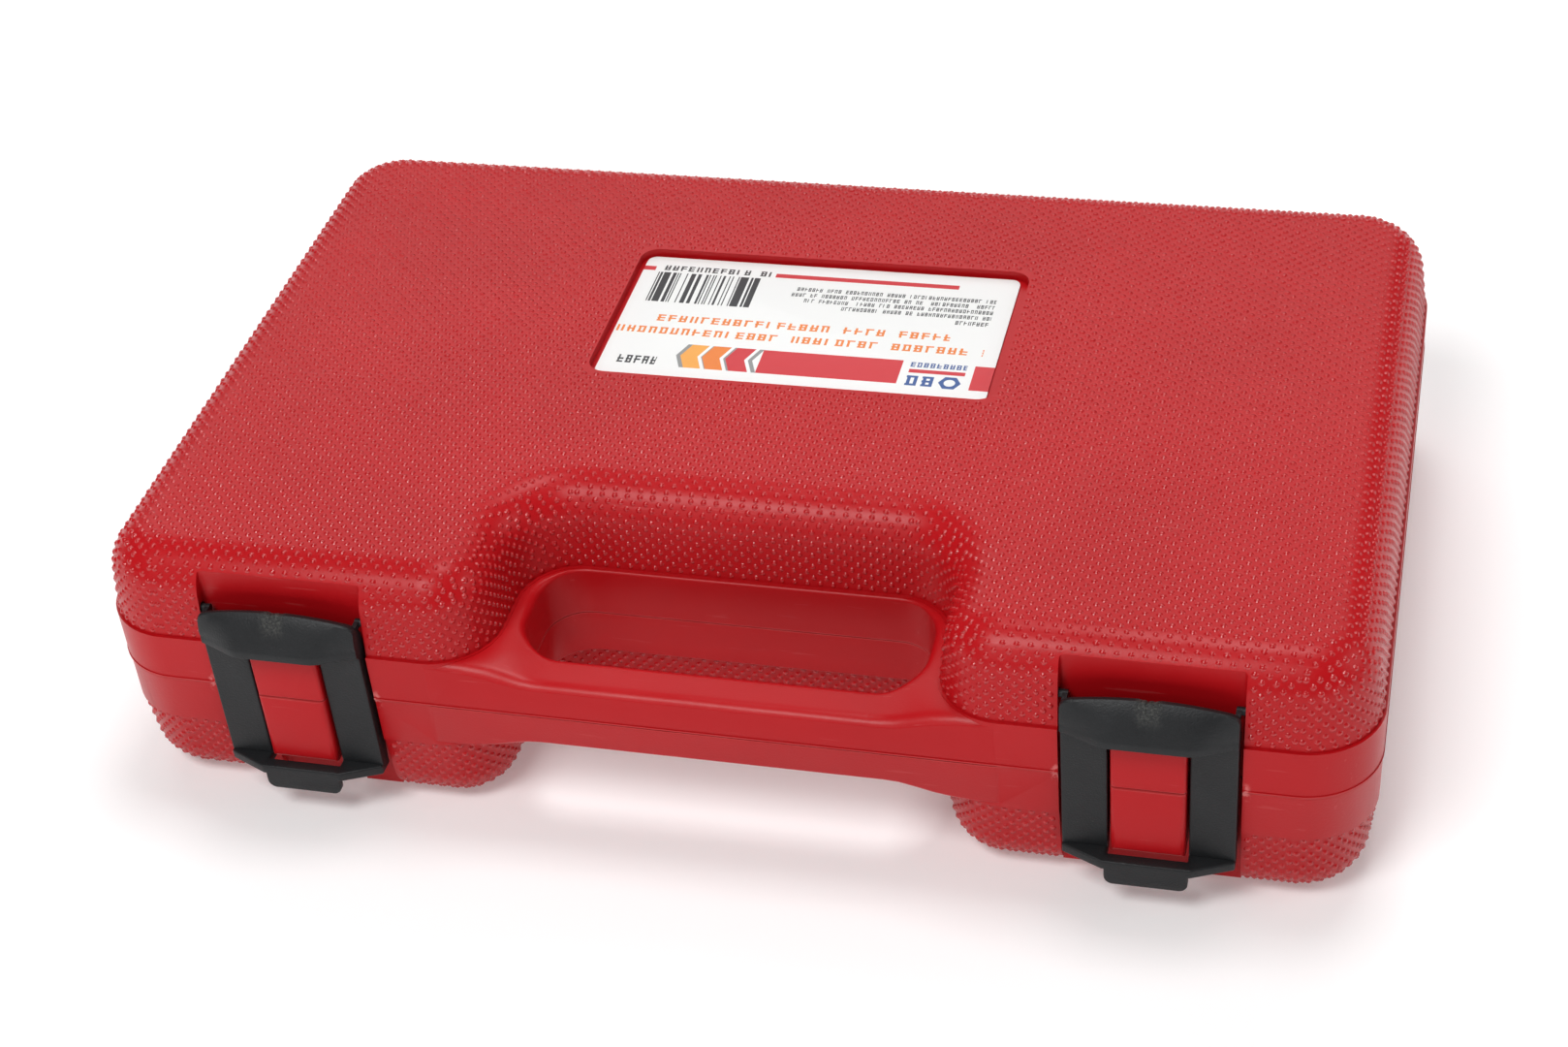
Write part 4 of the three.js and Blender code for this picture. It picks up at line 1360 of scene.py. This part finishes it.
def makeSocket(size, x):
    form = socketForm
    radius = form["outer"][size] / 2
    z = partingHeight + form["axisZ"]
    y0 = form["mouthY"]
    ease = form["chamfer"]
    neck = form["neck"]
    straight = form["length"] - form["head"] - form["shoulder"]
    steps = [
        (0.02, radius - ease), (ease * 0.5, radius - ease * 0.3), (ease * 0.5, radius),
        (form["head"] - 4 - ease, radius), *groove(radius, *form["groove"]), (1.4, radius),
        (form["shoulder"], neck), (straight - 9, neck), *groove(neck, *form["neckGroove"]),
        (4.6, neck), (1.2, neck - 1.2),
    ]
    body = turnedBody(f"socket_{size}", x, z, y0, steps)
    corner = (size + form["spare"]) / 2 / math.cos(math.pi / 6)
    recess = rodY("recess", corner, x, z, y0 - 1, y0 + form["recess"], 24)
    outer = corner * mm
    for point in recess.data.vertices:
        across = Vector((point.co.x - x * mm, point.co.z - z * mm))
        turnStep = round(math.atan2(across.y, across.x) / (math.pi / 12))
        if turnStep % 2:
            across = across.normalized() * outer * math.cos(math.pi / 6) / math.cos(math.pi / 12)
            point.co.x, point.co.z = x * mm + across.x, z * mm + across.y
    cutAway(body, recess)
    lead = size / 2 + form["lead"]
    cutAway(body, coneY("mouth", x, z, y0 - 0.2, y0 + 2.0, lead + 1.4, lead - 0.6))
    bore = min(size / 2 - 1, form["boreRadius"])
    cutAway(body, rodY("bore", bore, x, z, y0 + form["recess"] - 1, y0 + form["bore"], 48))
    cutDrive(body, x, z, y0 + form["length"], form["length"] - form["bore"] + 1, form["square"])
    tidyMesh(body)
    smooth(body, 30)
    return body


def makeHolder(size, x):
    form = bitForm
    z = partingHeight + form["axisZ"]
    end = form["tipY"] + form["total"]
    y0 = end - form["holder"]
    radius, ease = form["radius"], form["chamfer"]
    steps = [
        (0.02, radius - ease), (ease, radius), (9.0, radius), *groove(radius, *form["groove"]),
        (form["holder"] - 2 * ease - 12.0, radius), (ease, radius - ease),
    ]
    body = turnedBody(f"bit_holder_{size}", x, z, y0, steps)
    hexRadius = (size + form["spare"]) / 2 / math.cos(math.pi / 6)
    cutAway(body, rodY("hex bore", hexRadius, x, z, y0 - 1, y0 + form["bore"], 6, math.pi / 6))
    cutDrive(body, x, z, end, form["squareDepth"], form["square"])
    tidyMesh(body)
    smooth(body, 30)
    return body


def makeBit(size, x):
    form = bitForm
    z = partingHeight + form["axisZ"]
    length = form["total"] - form["holder"] + form["bore"] - 0.3
    radius = size / 2 / math.cos(math.pi / 6)
    bit = rodY(f"hex_bit_{size}", radius, x, z, form["tipY"], form["tipY"] + length, 6, math.pi / 6)
    start, end = form["tipY"] - 1, form["tipY"] + length + 1
    tip = coneY("tip", x, z, start, end, radius - form["tipEase"], radius + length, 48)
    combine(bit, tip, "INTERSECT")
    softenEdges(bit, form["soft"] * mm, 40, 2)
    smooth(bit, 30)
    return bit


def makeTools():
    for size, x in zip(socketSizes, socketCentres()):
        piece = makeSocket(size, x)
        dress(piece, machinedSteel(f"satin chrome {size}", "chrome"))
        placePiece(piece, "base", f"socket_{size}mm")
    for i, size in enumerate(bitSizes):
        x = (i - 1) * bitForm["pitch"]
        holder = makeHolder(size, x)
        dress(holder, machinedSteel(f"holder chrome {size}", "chrome"))
        placePiece(holder, "base", f"hex_holder_{size}mm")
        bit = makeBit(size, x)
        dress(bit, machinedSteel(f"bit steel {size}", "bit"))
        placePiece(bit, "base", f"hex_bit_{size}mm")
    print("sockets and bits")


makeCamera(cameraSetup)
makeStudio(studio)
lidRed = redPlastic("red plastic lid")
baseRed = redPlastic("red plastic base")
placePiece(makeLid(lidRed), "lid", "lid_shell")
placePiece(makeBase(baseRed), "base", "base_shell")
pipRed = redPlastic("red pips", redFinish["pipGloss"], redFinish["pipRoughness"])
makePips(True, pipRed, "lid")
makePips(False, pipRed, "base")
for side, centre in zip(("left", "right"), latchCentres):
    placePiece(makeLatch(side, centre), f"latch_{side}", f"latch_{side}")
    placePiece(makeHingePin(side), "base", f"hinge_pin_{side}")
makeLabel()
makeTools()
